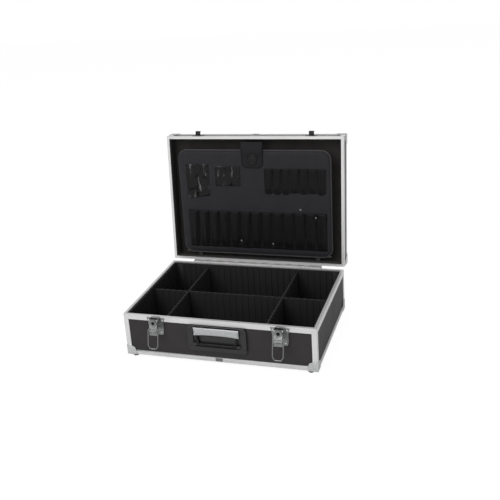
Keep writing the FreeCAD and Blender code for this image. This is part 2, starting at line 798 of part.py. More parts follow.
def build_latches():
    grip = latch_plate_thickness + metal_wall + panel_thickness
    seats = []
    names = {"left": -latch_x, "right": latch_x}
    low_z = split_z - latch_plate_top_drop - latch_plate_height + post_face / 2
    high_z = split_z - latch_plate_top_drop - edging_face / 2
    low_x = latch_plate_bottom_half - rivet_head_radius * 2
    high_x = latch_plate_waist_half - rivet_head_radius
    for side, x in names.items():
        add("latch_plate_" + side, moved(latch_plate(), x, 0, 0))
        add("latch_lever_" + side, moved(latch_lever(), x, 0, 0))
        pins = [moved(pin, x, 0, 0) for pin in lever_pins()]
        nodes["lever_pins"] = nodes.get("lever_pins", []) + pins
        add("lock_barrel_" + side, moved(lock_barrel(), x, 0, 0))
        add("bail_" + side, moved(bail(), x, 0, 0))
        for pin in pins:
            bore(["latch_plate_" + side], pin)
        for rivet_x, rivet_z in ((-low_x, low_z), (low_x, low_z), (-high_x, high_z), (high_x, high_z)):
            seat = FreeCAD.Vector(x + rivet_x, front - latch_plate_thickness, rivet_z)
            seats.append((seat, UNIT_Y))
    fasten("base_rivets", seats, grip, rivet_sizes,
           ["latch_plate_left", "latch_plate_right", "base_rim", "base_front_panel"])


def lid_catch():
    """Plate on the lid's front face with an upturned hook for the bail's bar."""
    seat = -catch_rise
    floor = seat + wire_radius + catch_seat_gap
    plate_low = seat + catch_plate_below
    plate_high = seat - catch_plate_above
    plate = side_prism([(0, plate_low), (catch_plate_thickness, plate_low),
                        (catch_plate_thickness, plate_high), (0, plate_high)],
                       -catch_plate_half, catch_plate_half)
    hook = side_prism([(0, floor), (catch_hook_proud - catch_hook_wall, floor),
                       (catch_hook_proud - catch_hook_wall, seat - catch_hook_lip),
                       (catch_hook_proud, seat - catch_hook_lip), (catch_hook_proud, floor),
                       (catch_hook_proud - catch_hook_wall, floor + catch_hook_wall),
                       (0, floor + catch_hook_wall)], -catch_hook_half, catch_hook_half)
    return fuse([plate, hook])


def build_lid_box():
    rim_foot = lid_z + rim_outer_leg
    edging_low = lid_top_z - edging_face
    top_inside = lid_top_z - metal_wall - panel_thickness
    add("lid_top_panel", box(-panel_x, panel_x, -panel_y, panel_y, top_inside, lid_top_z - metal_wall))
    boards = shell_panels(lid_z + metal_wall, top_inside)
    add("lid_long_panels", [boards["front"], boards["back"]])
    add("lid_end_panels", [boards["left"], boards["right"]])
    add("lid_rim", rim(lid_z, False))
    add("lid_top_edging", edging(lid_top_z, False))
    add("lid_corner_posts", posts(rim_foot, edging_low))
    cap = moved(corner_cap().mirror(ORIGIN, UNIT_Z), -half_x, -half_y, lid_top_z)
    add("lid_corner_caps", four_ways(cap))
    fasten_caps("lid_rivets", lambda shape: moved(shape.mirror(ORIGIN, UNIT_Z), -half_x, -half_y, lid_top_z),
                ["lid_corner_caps", "lid_top_edging", "lid_corner_posts", "lid_rim", "lid_long_panels",
                 "lid_end_panels", "lid_top_panel"])
    clip_high = lid_top_z - (edging_face - clip_height) / 2
    add("lid_joint_clip", box(-clip_width / 2, clip_width / 2, front - clip_thickness, front,
                              clip_high - clip_height, clip_high))
    liner_low = lid_z + metal_wall
    liner_top = box(-inner_x, inner_x, -inner_y, inner_y, top_inside - lid_liner, top_inside)
    liner_side = plan_ring(inner_x, inner_y, lid_liner, liner_low, top_inside - lid_liner)
    add("lid_lining", fuse([liner_top, liner_side]))


def build_catches():
    grip = catch_plate_thickness + metal_wall + panel_thickness
    seats = []
    for side, x in (("left", -latch_x), ("right", latch_x)):
        add("lid_catch_" + side, moved(lid_catch(), x, 0, 0))
        for rivet_x in (-catch_rivet_x, catch_rivet_x):
            seat = FreeCAD.Vector(x + rivet_x, front - catch_plate_thickness, split_z + catch_rise)
            seats.append((seat, UNIT_Y))
    fasten("lid_rivets", seats, grip, rivet_sizes, ["lid_catch_left", "lid_catch_right", "lid_rim",
                                                    "lid_long_panels"])


def build_handle():
    top = split_z - surround_top_drop
    near = front - surround_proud
    surround = round_plate(surround_half, top - surround_height, top, surround_corner, near, front)
    floor_y = front - surround_floor
    pocket = round_plate(pocket_half, split_z - pocket_bottom_drop, split_z - pocket_top_drop,
                         pocket_corner, near - overrun, floor_y)
    boss_inner = arm_foot_half + handle_boss_gap
    bosses = []
    for x0, x1 in ((boss_inner, pocket_half), (-pocket_half, -boss_inner)):
        bosses.append(box(x0, x1, front - handle_boss_proud, floor_y,
                          split_z - handle_pivot_drop - handle_boss_half_height,
                          split_z - handle_pivot_drop + handle_boss_half_height))
    pin_half = pocket_half - handle_pin_inset
    pin_start = FreeCAD.Vector(-pin_half, front - handle_pivot_proud, split_z - handle_pivot_drop)
    pin = rod(pin_start, UNIT_X, handle_pin_radius, 2 * pin_half)
    add("handle_surround", fuse([surround.cut(pocket)] + bosses).cut(pin))
    add("handle_pin", pin)
    build_grip(pin_start, pin_half)
    grip = surround_proud + panel_thickness + metal_wall
    seats = [(FreeCAD.Vector(x, near, split_z - drop), UNIT_Y)
             for drop in (handle_screw_top_drop, handle_screw_bottom_drop)
             for x in (-handle_screw_x, handle_screw_x)]
    fasten("handle_screws", seats, grip, (handle_screw_head, handle_screw_height, handle_screw_radius),
           ["handle_surround", "base_front_panel"])


def build_grip(pin_start, pin_half):
    """The grip frame: a bar above, two arms drawn in below, and the tube round the pin."""
    bar_top = split_z - grip_top_drop
    bar_bottom = bar_top - grip_height
    core = box(-grip_core_half, grip_core_half, front - grip_core_proud, front - grip_back,
               bar_bottom + grip_core_margin, bar_top - grip_core_margin)
    pivot_z = split_z - handle_pivot_drop
    straight_z = pivot_z + arm_straight
    arms = []
    for side in (-1, 1):
        outline = ((grip_core_half, bar_bottom + 2 * grip_core_margin), (arm_foot_half, straight_z),
                   (arm_foot_half, pivot_z), (arm_foot_half - arm_width, pivot_z),
                   (arm_foot_half - arm_width, straight_z),
                   (grip_core_half - arm_width, bar_bottom + 2 * grip_core_margin))
        corners = [FreeCAD.Vector(side * x, front - grip_back, z) for x, z in outline]
        face = Part.Face(Part.makePolygon(corners + [corners[0]]))
        arms.append(face.extrude(UNIT_Y * (grip_back - grip_core_proud)))
    tube_start = FreeCAD.Vector(-arm_foot_half, pin_start.y, pin_start.z)
    tube = rod(tube_start, UNIT_X, handle_tube_radius, 2 * arm_foot_half)
    hole = rod(pin_start, UNIT_X, handle_pin_radius + handle_bore_gap, 2 * pin_half)
    add("handle_frame", fuse([core, tube] + arms).cut(hole))
    cover = box(-grip_half, grip_half, front - grip_cover_proud, front - grip_core_proud, bar_bottom, bar_top)
    long_edges = [edge for edge in cover.Edges
                  if abs(edge.BoundBox.YMin - (front - grip_cover_proud)) < grip_edge_radius
                  and edge.BoundBox.YLength < grip_edge_radius]
    cover = cover.makeFillet(grip_edge_radius, long_edges)
    middle_z = (bar_top + bar_bottom) / 2
    for side in (-1, 1):
        notch_start = FreeCAD.Vector(side * (grip_half + grip_notch / 2), front, middle_z)
        cover = cover.cut(rod(notch_start, UNIT_Y * -1, grip_notch, grip_cover_proud + overrun))
    add("handle_cover", cover)


def pallet_placed(shapes):
    """Brings pallet pieces, drawn upright with the rod behind the board, to their open place."""
    rod_y = half_y - pallet_along
    rod_z = lid_z + pallet_behind
    point = Part.Vertex(FreeCAD.Vector(0, rod_y, rod_z))
    place = opened([point])[0].Point
    placed = []
    for shape in shapes:
        copy = turned(moved(shape, 0, -pallet_back, 0), ORIGIN, UNIT_X,
                      right_angle + pallet_lean - lid_open_angle)
        placed.append(moved(copy, place.x, place.y, place.z))
    return placed


def pillow(x0, x1, z0, z1, near, proud):
    """A sewn pocket lying full: an arched front between two seams."""
    start = FreeCAD.Vector(x0, near, z0)
    end = FreeCAD.Vector(x1, near, z0)
    middle = FreeCAD.Vector((x0 + x1) / 2, near - proud, z0)
    outline = Part.Wire([Part.Arc(start, middle, end).toShape(), Part.LineSegment(end, start).toShape()])
    return Part.Face(outline).extrude(UNIT_Z * (z1 - z0))


def pocket_row(left, right, low, high, count, near, proud):
    width = (right - left) / count
    return [pillow(left + i * width + pocket_seam / 2, left + (i + 1) * width - pocket_seam / 2,
                   low, high, near, proud) for i in range(count)]


def across(share):
    """A place across the pallet, from its middle."""
    return share * pallet_half


def up(share):
    """A place up the pallet, from its rod."""
    return share * pallet_height


def build_pallet_board():
    """The board, its bound edge and its padded face, with the board's front at y zero."""
    low = pallet_foot
    inner_half = pallet_half - pallet_edge
    corner_inner = pallet_corner - pallet_edge
    board = round_plate(inner_half, low + pallet_edge, pallet_height - pallet_edge, corner_inner,
                        0, pallet_board)
    outer = round_plate(pallet_half, low, pallet_height, pallet_corner, -pallet_edge_proud, pallet_board)
    hollow = round_plate(inner_half, low + pallet_edge, pallet_height - pallet_edge, corner_inner,
                         -pallet_edge_proud - overrun, pallet_board + overrun)
    face_half = pallet_half - pallet_face_inset
    face_corner = pallet_corner - pallet_face_inset
    face = round_plate(face_half, low + pallet_face_inset, pallet_height - pallet_face_inset,
                       face_corner, -pallet_face, 0)
    add("pallet_board", board)
    add("pallet_piping", outer.cut(hollow))
    add("pallet_facing", face)


def build_pockets():
    """Tool pockets, loops and clear pockets on the padded face, and their studs."""
    face_y = -pallet_face
    long_left = across(long_row_left_share)
    long_right = across(long_row_right_share)
    add("pallet_tool_pockets", pocket_row(long_left, long_right, up(long_row_low_share),
                                          up(long_row_high_share), long_row_count, face_y, long_row_proud))
    add("pallet_tool_loops", pocket_row(across(loop_row_left_share), across(loop_row_right_share),
                                        up(loop_row_low_share), up(loop_row_high_share),
                                        loop_row_count, face_y, loop_row_proud))
    sleeves = []
    for sides, ends in ((sleeve_left_across_shares, sleeve_left_up_shares),
                        (sleeve_right_across_shares, sleeve_right_up_shares)):
        sleeves.append(box(across(sides[0]), across(sides[1]), face_y - sleeve_thickness, face_y,
                           up(ends[0]), up(ends[1])))
    add("clear_pockets", sleeves)
    long_run = long_right - long_left
    seats = [FreeCAD.Vector(long_left + row_share * long_run, face_y, up(up_share))
             for row_share, up_share in zip(stud_row_shares, stud_up_shares)]
    for seat in seats:
        hole = rod(seat, UNIT_Y * -1, stud_radius + stud_press, long_row_proud + overrun)
        bore(["pallet_tool_pockets"], hole)
    seats.append(FreeCAD.Vector(across(lone_stud_across_share), face_y, up(lone_stud_up_share)))
    stud_sizes = (stud_radius, stud_height, rivet_shank_radius)
    fasten("pallet_studs", [(seat, UNIT_Y) for seat in seats], pallet_face, stud_sizes, ["pallet_facing"])


def build_strap():
    """The flap strap that lies over the top of the pallet, and its press snap."""
    strap_y = -pallet_face - strap_thickness
    add("pallet_strap", box(-strap_half, strap_half, strap_y, -pallet_face, up(strap_low_share),
                            lid_wall_up - strap_end_gap))
    fasten("strap_snap", [(FreeCAD.Vector(0, strap_y, up(snap_up_share)), UNIT_Y)], strap_thickness,
           (snap_radius, snap_height, snap_shank_radius), ["pallet_strap"])


def build_pallet_sleeves():
    """Sleeves behind the foot of the board that turn on the rod."""
    sleeves = []
    hole_start = FreeCAD.Vector(-half_x, pallet_back, 0)
    hole = rod(hole_start, UNIT_X, pallet_rod_radius + pallet_bore_gap, case_width)
    for side in (-1, 0, 1):
        x0 = side * across(pallet_sleeve_share) - pallet_sleeve_length / 2
        x1 = x0 + pallet_sleeve_length
        tube = rod(FreeCAD.Vector(x0, pallet_back, 0), UNIT_X, pallet_sleeve_radius, pallet_sleeve_length)
        tab = box(x0, x1, pallet_board, pallet_board + pallet_sleeve_wall, 0, pallet_sleeve_tab)
        neck = box(x0, x1, pallet_board, pallet_back, 0, pallet_sleeve_radius)
        sleeves.append(fuse([tube, tab, neck]).cut(hole))
    add("pallet_hinge_sleeves", sleeves)


def build_pallet():
    first = len(nodes)
    build_pallet_board()
    build_pockets()
    build_strap()
    build_pallet_sleeves()
    for name in list(nodes)[first:]:
        nodes[name] = pallet_placed(nodes[name])


def build_pallet_carrier():
    """The rod behind the pallet's foot and the brackets that hold it on the lid's hinge wall."""
    rod_y = half_y - pallet_along
    rod_z = lid_z + pallet_behind
    wall_y = inner_y - lid_liner
    rod_start = FreeCAD.Vector(-pallet_rod_half, rod_y, rod_z)
    pallet_rod = rod(rod_start, UNIT_X, pallet_rod_radius, 2 * pallet_rod_half)
    brackets = []
    for side in (-1, 1):
        x0 = side * across(bracket_share) - bracket_length / 2
        x1 = x0 + bracket_length
        arm = box(x0, x1, rod_y, wall_y, rod_z - bracket_half_height, rod_z + bracket_half_height)
        eye = rod(FreeCAD.Vector(x0, rod_y, rod_z), UNIT_X, bracket_half_height, bracket_length)
        plate = box(x0, x1, wall_y - bracket_wall, wall_y,
                    rod_z - bracket_plate / 2, rod_z + bracket_plate / 2)
        brackets.append(fuse([arm, eye, plate]).cut(pallet_rod))
    add("pallet_rod", pallet_rod)
    add("pallet_brackets", brackets)


os.makedirs("parts", exist_ok=True)
build_base_box()
build_base_fasteners()
build_lining()
build_dividers()
build_lid_box()
build_hinge()
build_latches()
build_catches()
build_handle()
build_pallet()
build_pallet_carrier()
for name in list(nodes):
    if name.startswith("lid_") or name in ("hinge_lid_leaf", "pallet_rod", "pallet_brackets"):
        nodes[name] = opened(nodes[name])
for name, shapes in nodes.items():
    solids = [solid for shape in shapes for solid in shape.Solids]
    whole = solids[0] if len(solids) == 1 else Part.makeCompound(solids)
    whole.exportStep("parts/" + name + ".step")
pallet_line = pallet_placed([Part.Vertex(UNIT_Y * pallet_back)])[0].Point
print("nodes", len(nodes))
print("lid axis", axis_y, axis_z)
print("pallet line", pallet_line.y, pallet_line.z)
print("bail swing", bail_swing, "catch rise", catch_rise)
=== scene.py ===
import json
import math
import random

import bmesh
import bpy
from mathutils import Euler, Matrix, Vector, noise


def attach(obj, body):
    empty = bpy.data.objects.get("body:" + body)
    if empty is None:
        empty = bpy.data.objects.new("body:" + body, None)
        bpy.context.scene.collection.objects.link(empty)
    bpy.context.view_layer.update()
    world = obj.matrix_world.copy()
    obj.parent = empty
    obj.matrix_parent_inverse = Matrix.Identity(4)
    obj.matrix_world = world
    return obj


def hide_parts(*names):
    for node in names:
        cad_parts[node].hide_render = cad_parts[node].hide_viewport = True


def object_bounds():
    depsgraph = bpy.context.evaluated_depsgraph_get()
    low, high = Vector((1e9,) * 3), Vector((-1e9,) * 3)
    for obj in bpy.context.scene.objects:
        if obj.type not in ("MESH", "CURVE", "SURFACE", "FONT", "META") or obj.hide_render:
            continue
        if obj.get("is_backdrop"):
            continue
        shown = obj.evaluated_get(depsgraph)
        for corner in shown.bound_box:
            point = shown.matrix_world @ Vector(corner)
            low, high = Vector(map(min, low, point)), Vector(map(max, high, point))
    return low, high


bl_info = {
    "name": "Hard tool case",
    "version": (1, 0, 0),
    "blender": (4, 5, 0),
    "location": "View3D > Sidebar > Tool case",
    "description": "Dresses a hard tool case with metalwork, boards, lining and a tool pallet",
    "category": "Object",
}

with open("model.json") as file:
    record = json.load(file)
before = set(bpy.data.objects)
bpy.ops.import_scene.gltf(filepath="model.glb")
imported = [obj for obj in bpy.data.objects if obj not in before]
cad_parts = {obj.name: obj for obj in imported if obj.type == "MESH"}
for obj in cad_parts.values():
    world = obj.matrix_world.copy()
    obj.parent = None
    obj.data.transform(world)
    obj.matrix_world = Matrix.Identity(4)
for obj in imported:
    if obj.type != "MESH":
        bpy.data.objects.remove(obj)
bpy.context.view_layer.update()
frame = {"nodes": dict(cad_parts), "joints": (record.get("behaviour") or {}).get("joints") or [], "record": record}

MM = 0.001
EDGE_ANGLE = math.radians(30)
FLAT_ANGLE = math.radians(0.5)
MERGE_DISTANCE = 0.01 * MM


def joint_value(name, key):
    for joint in frame["joints"]:
        if joint["name"] == name:
            return joint[key]
    raise RuntimeError("no joint named " + name)


HINGE_LINE = Vector(joint_value("lid_hinge", "pos_m"))
PALLET_LINE = Vector(joint_value("pallet_tilt", "pos_m"))


# Colours


def linear(code):
    """An sRGB hex code as linear red, green, blue and one."""
    channels = [int(code[i:i + 2], 16) / 255 for i in (0, 2, 4)]
    return tuple(c / 12.92 if c <= 0.04045 else ((c + 0.055) / 1.055) ** 2.4 for c in channels) + (1.0,)


def colour_property(name, description, code):
    return bpy.props.FloatVectorProperty(name=name, description=description, subtype="COLOR", size=4,
                                         min=0.0, max=1.0, default=linear(code))


def length_property(name, description, millimetres):
    return bpy.props.FloatProperty(name=name, description=description, default=millimetres * MM,
                                   min=0.0, unit="LENGTH", precision=5)


class CaseColours(bpy.types.PropertyGroup):
    aluminium: colour_property("Aluminium", "Anodised edging and rims", "D8D8D8")
    nickel: colour_property("Nickel", "Caps, rivets and lever pins", "C6C8C8")
    cover_nickel: colour_property("Cover nickel", "Cover of the handle", "B3B6B6")
    # The latch nickel is painted darker than the nickel, standing for the shade among the latches' parts.
    shaded_latch_nickel: colour_property("Latch nickel", "Latch plates, levers, bails and joint clips", "828484")
    # The zinc is painted darker than bright zinc, standing for the shade in the hinge's slot.
    zinc: colour_property("Zinc", "Hinge, rods, foot screws and studs", "7E7D7C")
    # Near black, partly painted shade: the lid catches sit in shadow and the lock barrels stand for dark keyways.
    blackened_and_shade: colour_property("Blackened steel", "Lid catches, lock barrels and handle screws", "1C1C1D")
    board: colour_property("Boards", "Grained laminate on the outside", "343232")
    lining: colour_property("Ribbed lining", "Foamed lining and dividers", "211F20")
    lid_cloth: colour_property("Lid cloth", "Cloth lining of the lid", "2F2D2C")
    pallet_cloth: colour_property("Pallet cloth", "Woven facing of the pallet", "1C1B1F")
    strap_cloth: colour_property("Strap cloth", "Flap strap over the pallet's edge", "141316")
    pocket_cloth: colour_property("Pocket cloth", "Tool pockets and loops", "09090B")
    piping: colour_property("Piping", "Bound edge of the pallet", "343437")
    plastic: colour_property("Surround", "Moulded surround of the handle", "232324")
    handle: colour_property("Handle", "Moulded frame of the handle, and the strap's snap", "0A0A0B")
    rubber: colour_property("Rubber", "Feet", "0A0A0B")


class CaseSizes(bpy.types.PropertyGroup):
    metal_edge: length_property("Metal edge", "Rounding of cut metal edges", millimetres=0.3)
    board_edge: length_property("Board edge", "Rounding of the board edges", millimetres=0.3)
    foam_edge: length_property("Foam edge", "Rounding of the lining ribs", millimetres=0.8)
    plastic_edge: length_property("Plastic edge", "Rounding of the moulded edges", millimetres=1.0)
    stitch_length: length_property("Stitch", "Length of one stitch", millimetres=3.0)
    stitch_radius: length_property("Thread", "Radius of the sewing thread", millimetres=0.35)


def sizes():
    return bpy.context.scene.tool_case_sizes


def colours():
    return bpy.context.scene.tool_case_colours


# Materials


def add_node(tree, kind, links=None, **settings):
    """Adds a node, sets its properties and plain inputs, and links the given sockets into it."""
    node = tree.nodes.new(kind)
    for key, value in settings.items():
        if hasattr(node, key):
            setattr(node, key, value)
        else:
            node.inputs[key.replace("_", " ")].default_value = value
    for name, socket in (links or {}).items():
        tree.links.new(socket, node.inputs[name])
    return node


def surface(name, colour, **settings):
    """A material with one principled shader, its settings set on the shader's own sockets."""
    material = bpy.data.materials.new(name)
    material.use_nodes = True
    tree = material.node_tree
    shader = tree.nodes["Principled BSDF"]
    shader.inputs["Base Color"].default_value = colour
    for key, value in settings.items():
        shader.inputs[key.replace("_", " ")].default_value = value
    return material, tree, shader


def place_coordinates(tree, scale=(1, 1, 1), rotation=(0, 0, 0)):
    coordinates = add_node(tree, "ShaderNodeTexCoord")
    return add_node(tree, "ShaderNodeMapping", {"Vector": coordinates.outputs["Object"]},
                    Scale=scale, Rotation=rotation).outputs["Vector"]


def per_metre(millimetres):
    """Texture scale whose feature size is the given real size."""
    return 1 / (millimetres * MM)


def spread(tree, socket, low, high):
    """Brings a texture's 0 to 1 into a narrower range."""
    return add_node(tree, "ShaderNodeMapRange", {"Value": socket}, To_Min=low, To_Max=high).outputs["Result"]


def tint(tree, shader, socket, colour, low, high):
    """Varies the base colour's lightness between two factors."""
    factor = spread(tree, socket, low, high)
    mixed = add_node(tree, "ShaderNodeVectorMath", {1: factor}, operation="MULTIPLY")
    mixed.inputs[0].default_value = colour[:3]
    tree.links.new(mixed.outputs["Vector"], shader.inputs["Base Color"])


def relief(tree, shader, socket, height, strength=1.0, under=None):
    links = {"Height": socket}
    if under is not None:
        links["Normal"] = under
    bump = add_node(tree, "ShaderNodeBump", links, Distance=height * MM, Strength=strength)
    tree.links.new(bump.outputs["Normal"], shader.inputs["Normal"])
    return bump.outputs["Normal"]


def anodised_aluminium():
    # Extruded and satin anodised: an even soft sheen with faint draw lines and light handling marks.
    colour = tuple(colours().aluminium)
    material, tree, shader = surface("anodised_aluminium", colour, Metallic=0.75, Roughness=0.42)
    draw_size = 0.4
    draw_depth = 0.01
    cloud_size = 60.0
    fine = add_node(tree, "ShaderNodeTexNoise", {"Vector": place_coordinates(tree)},
                    Scale=per_metre(draw_size), Detail=3.0)
    cloud = add_node(tree, "ShaderNodeTexNoise", {"Vector": place_coordinates(tree)},
                     Scale=per_metre(cloud_size), Detail=4.0)
    tint(tree, shader, cloud.outputs["Fac"], colour, low=0.9, high=1.06)
    tree.links.new(spread(tree, fine.outputs["Fac"], low=0.36, high=0.5), shader.inputs["Roughness"])
    relief(tree, shader, fine.outputs["Fac"], draw_depth, strength=0.4)
    return material


def plated_steel(name, colour):
    """Pressed steel, nickel plated: bright and slightly uneven, with small pits and rubbed patches."""
    material, tree, shader = surface(name, colour, Metallic=0.9, Roughness=0.3)
    pit_size = 0.8
    pit_depth = 0.02
    rub_size = 7.0
    pits = add_node(tree, "ShaderNodeTexNoise", {"Vector": place_coordinates(tree)},
                    Scale=per_metre(pit_size), Detail=4.0)
    rub = add_node(tree, "ShaderNodeTexNoise", {"Vector": place_coordinates(tree)},
                   Scale=per_metre(rub_size), Detail=5.0)
    tint(tree, shader, rub.outputs["Fac"], colour, low=0.82, high=1.1)
    tree.links.new(spread(tree, rub.outputs["Fac"], low=0.2, high=0.42), shader.inputs["Roughness"])
    relief(tree, shader, pits.outputs["Fac"], pit_depth, strength=0.5)
    return material


def nickel_plate():
    # Nickel plated steel of the caps and rivets.
    return plated_steel("nickel_plate", tuple(colours().nickel))


def cover_nickel_plate():
    # Nickel plated steel of the handle's cover, a shade duller.
    return plated_steel("cover_nickel_plate", tuple(colours().cover_nickel))


def latch_nickel_plate():
    # Nickel plated steel of the latches and joint clips, painted darker than the other nickel to stand for the
    # shade among the latches' parts.
    return plated_steel("latch_nickel_plate", tuple(colours().shaded_latch_nickel))


def zinc_plate():
    # Rolled steel, bright zinc plated: a cool satin metal with fine rolling marks, its colour painted darker to
    # stand for the shade in the hinge's slot.
    colour = tuple(colours().zinc)
    material, tree, shader = surface("zinc_plate", colour, Metallic=0.9, Roughness=0.35)
    roll_size = 0.5
    stretch = (0.05, 1, 1)
    marks = add_node(tree, "ShaderNodeTexNoise", {"Vector": place_coordinates(tree, stretch)},
                     Scale=per_metre(roll_size), Detail=3.0)
    tint(tree, shader, marks.outputs["Fac"], colour, low=0.88, high=1.05)
    tree.links.new(spread(tree, marks.outputs["Fac"], low=0.28, high=0.45), shader.inputs["Roughness"])
    return material


def grained_laminate():
    # Black plastic laminate with a pressed fine grain: soft highlights broken up by the cells.
    colour = tuple(colours().board)
    material, tree, shader = surface("grained_laminate", colour, Roughness=0.55, IOR=1.5,
                                     Specular_IOR_Level=0.12)
    cell_size = 1.1
    cell_depth = 0.12
    fleck_size = 0.35
    fleck_depth = 0.03
    scuff_size = 45.0
    cells = add_node(tree, "ShaderNodeTexVoronoi", {"Vector": place_coordinates(tree)},
                     Scale=per_metre(cell_size), feature="SMOOTH_F1")
    flecks = add_node(tree, "ShaderNodeTexNoise", {"Vector": place_coordinates(tree)},
                      Scale=per_metre(fleck_size), Detail=2.0)
    scuffs = add_node(tree, "ShaderNodeTexNoise", {"Vector": place_coordinates(tree)},
                      Scale=per_metre(scuff_size), Detail=5.0)
    tint(tree, shader, scuffs.outputs["Fac"], colour, low=0.8, high=1.22)
    tree.links.new(spread(tree, scuffs.outputs["Fac"], low=0.42, high=0.6), shader.inputs["Roughness"])
    first = relief(tree, shader, cells.outputs["Distance"], cell_depth, strength=0.6)
    relief(tree, shader, flecks.outputs["Fac"], fleck_depth, strength=0.4, under=first)
    return material


def foamed_lining():
    # Foamed plastic sheet with a dull closed skin: matt, nearly black, with fine pores.
    colour = tuple(colours().lining)
    material, tree, shader = surface("foamed_lining", colour, Roughness=0.75, Specular_IOR_Level=0.3)
    pore_size = 0.6
    pore_depth = 0.08
    cloud_size = 30.0
    pores = add_node(tree, "ShaderNodeTexNoise", {"Vector": place_coordinates(tree)},
                     Scale=per_metre(pore_size), Detail=3.0)
    cloud = add_node(tree, "ShaderNodeTexNoise", {"Vector": place_coordinates(tree)},
                     Scale=per_metre(cloud_size), Detail=3.0)
    tint(tree, shader, cloud.outputs["Fac"], colour, low=0.8, high=1.25)
    relief(tree, shader, pores.outputs["Fac"], pore_depth, strength=0.6)
    return material


def blackened_steel():
    # Blackened steel: dark, oily and smooth, with a small sharp glint; its near black is also painted shade, for
    # the lid catches in shadow and the dark keyways of the lock barrels.
    colour = tuple(colours().blackened_and_shade)
    material, tree, shader = surface("blackened_steel", colour, Metallic=0.6, Roughness=0.3)
    cloud_size = 2.0
    cloud = add_node(tree, "ShaderNodeTexNoise", {"Vector": place_coordinates(tree)},
                     Scale=per_metre(cloud_size), Detail=3.0)
    tree.links.new(spread(tree, cloud.outputs["Fac"], low=0.22, high=0.4), shader.inputs["Roughness"])
    return material


def woven(name, colour, thread, roughness, specular, sheen):
    """Plain woven cloth: threads over and under each other at a real spacing."""
    material, tree, shader = surface(name, colour, Roughness=roughness, Specular_IOR_Level=specular,
                                     Sheen_Weight=sheen, Sheen_Roughness=0.5)
    bands_per_unit = math.pi / 10
    weave_depth = 0.15
    cloud_size = 25.0
    scale = per_metre(thread) * bands_per_unit
    coordinates = place_coordinates(tree)
    across = add_node(tree, "ShaderNodeTexWave", {"Vector": coordinates}, Scale=scale, bands_direction="X",
                      wave_profile="SIN")
    along = add_node(tree, "ShaderNodeTexWave", {"Vector": coordinates}, Scale=scale, bands_direction="Z",
                     wave_profile="SIN")
    weave = add_node(tree, "ShaderNodeMath", {0: across.outputs["Fac"], 1: along.outputs["Fac"]},
                     operation="MULTIPLY")
    cloud = add_node(tree, "ShaderNodeTexNoise", {"Vector": coordinates}, Scale=per_metre(cloud_size),
                     Detail=4.0)
    shade = add_node(tree, "ShaderNodeMath", {0: weave.outputs[0], 1: cloud.outputs["Fac"]}, operation="ADD")
    tint(tree, shader, shade.outputs[0], colour, low=0.6, high=1.35)
    relief(tree, shader, weave.outputs[0], weave_depth, strength=0.7)
    return material


def lid_lining_cloth():
    # Matt lining cloth glued inside the lid, in a fine plain weave.
    return woven("lid_lining_cloth", tuple(colours().lid_cloth), thread=0.9, roughness=0.85,
                 specular=0.2, sheen=0.02)


def strap_nylon():
    # Coated woven nylon of the strap, a shade darker than the pallet.
    return woven("strap_nylon", tuple(colours().strap_cloth), thread=0.8, roughness=0.6,
                 specular=0.2, sheen=0.02)


def pallet_nylon():
    # Coated woven nylon of the pallet.
    return woven("pallet_nylon", tuple(colours().pallet_cloth), thread=0.8, roughness=0.6,
                 specular=0.25, sheen=0.06)


def pocket_nylon():
    # Coated woven nylon of the pockets and loops, darker than the pallet.
    return woven("pocket_nylon", tuple(colours().pocket_cloth), thread=0.8, roughness=0.5,
                 specular=0.18, sheen=0.0)


def binding_tape():
    # Woven polyester tape folded over the pallet's edge, coarser and a little fluffy.
    return woven("binding_tape", tuple(colours().piping), thread=1.2, roughness=0.6,
                 specular=0.25, sheen=0.12)


def moulded(name, colour, specular):
    """Injection moulded plastic with a spark-eroded texture: satin, with soft broad highlights."""
    material, tree, shader = surface(name, colour, Roughness=0.42, IOR=1.5, Specular_IOR_Level=specular)
    grain_size = 0.5
    grain_depth = 0.03
    cloud_size = 20.0
    grain = add_node(tree, "ShaderNodeTexNoise", {"Vector": place_coordinates(tree)},
                     Scale=per_metre(grain_size), Detail=2.0)
    cloud = add_node(tree, "ShaderNodeTexNoise", {"Vector": place_coordinates(tree)},
                     Scale=per_metre(cloud_size), Detail=4.0)
    tint(tree, shader, cloud.outputs["Fac"], colour, low=0.88, high=1.12)
    tree.links.new(spread(tree, cloud.outputs["Fac"], low=0.34, high=0.5), shader.inputs["Roughness"])
    relief(tree, shader, grain.outputs["Fac"], grain_depth, strength=0.5)
    return material


def surround_plastic():
    # Black polypropylene of the surround, slightly greyed.
    return moulded("surround_plastic", tuple(colours().plastic), specular=0.4)


def handle_plastic():
    # Deep black plastic of the handle's frame.
    return moulded("handle_plastic", tuple(colours().handle), specular=0.25)


def moulded_rubber():
    # Moulded rubber: dull black with a dusty bloom.
    colour = tuple(colours().rubber)
    material, tree, shader = surface("moulded_rubber", colour, Roughness=0.8, IOR=1.52)
    bloom_size = 3.0
    bloom = add_node(tree, "ShaderNodeTexNoise", {"Vector": place_coordinates(tree)},
                     Scale=per_metre(bloom_size), Detail=4.0)
    tint(tree, shader, bloom.outputs["Fac"], colour, low=0.7, high=1.5)
    return material


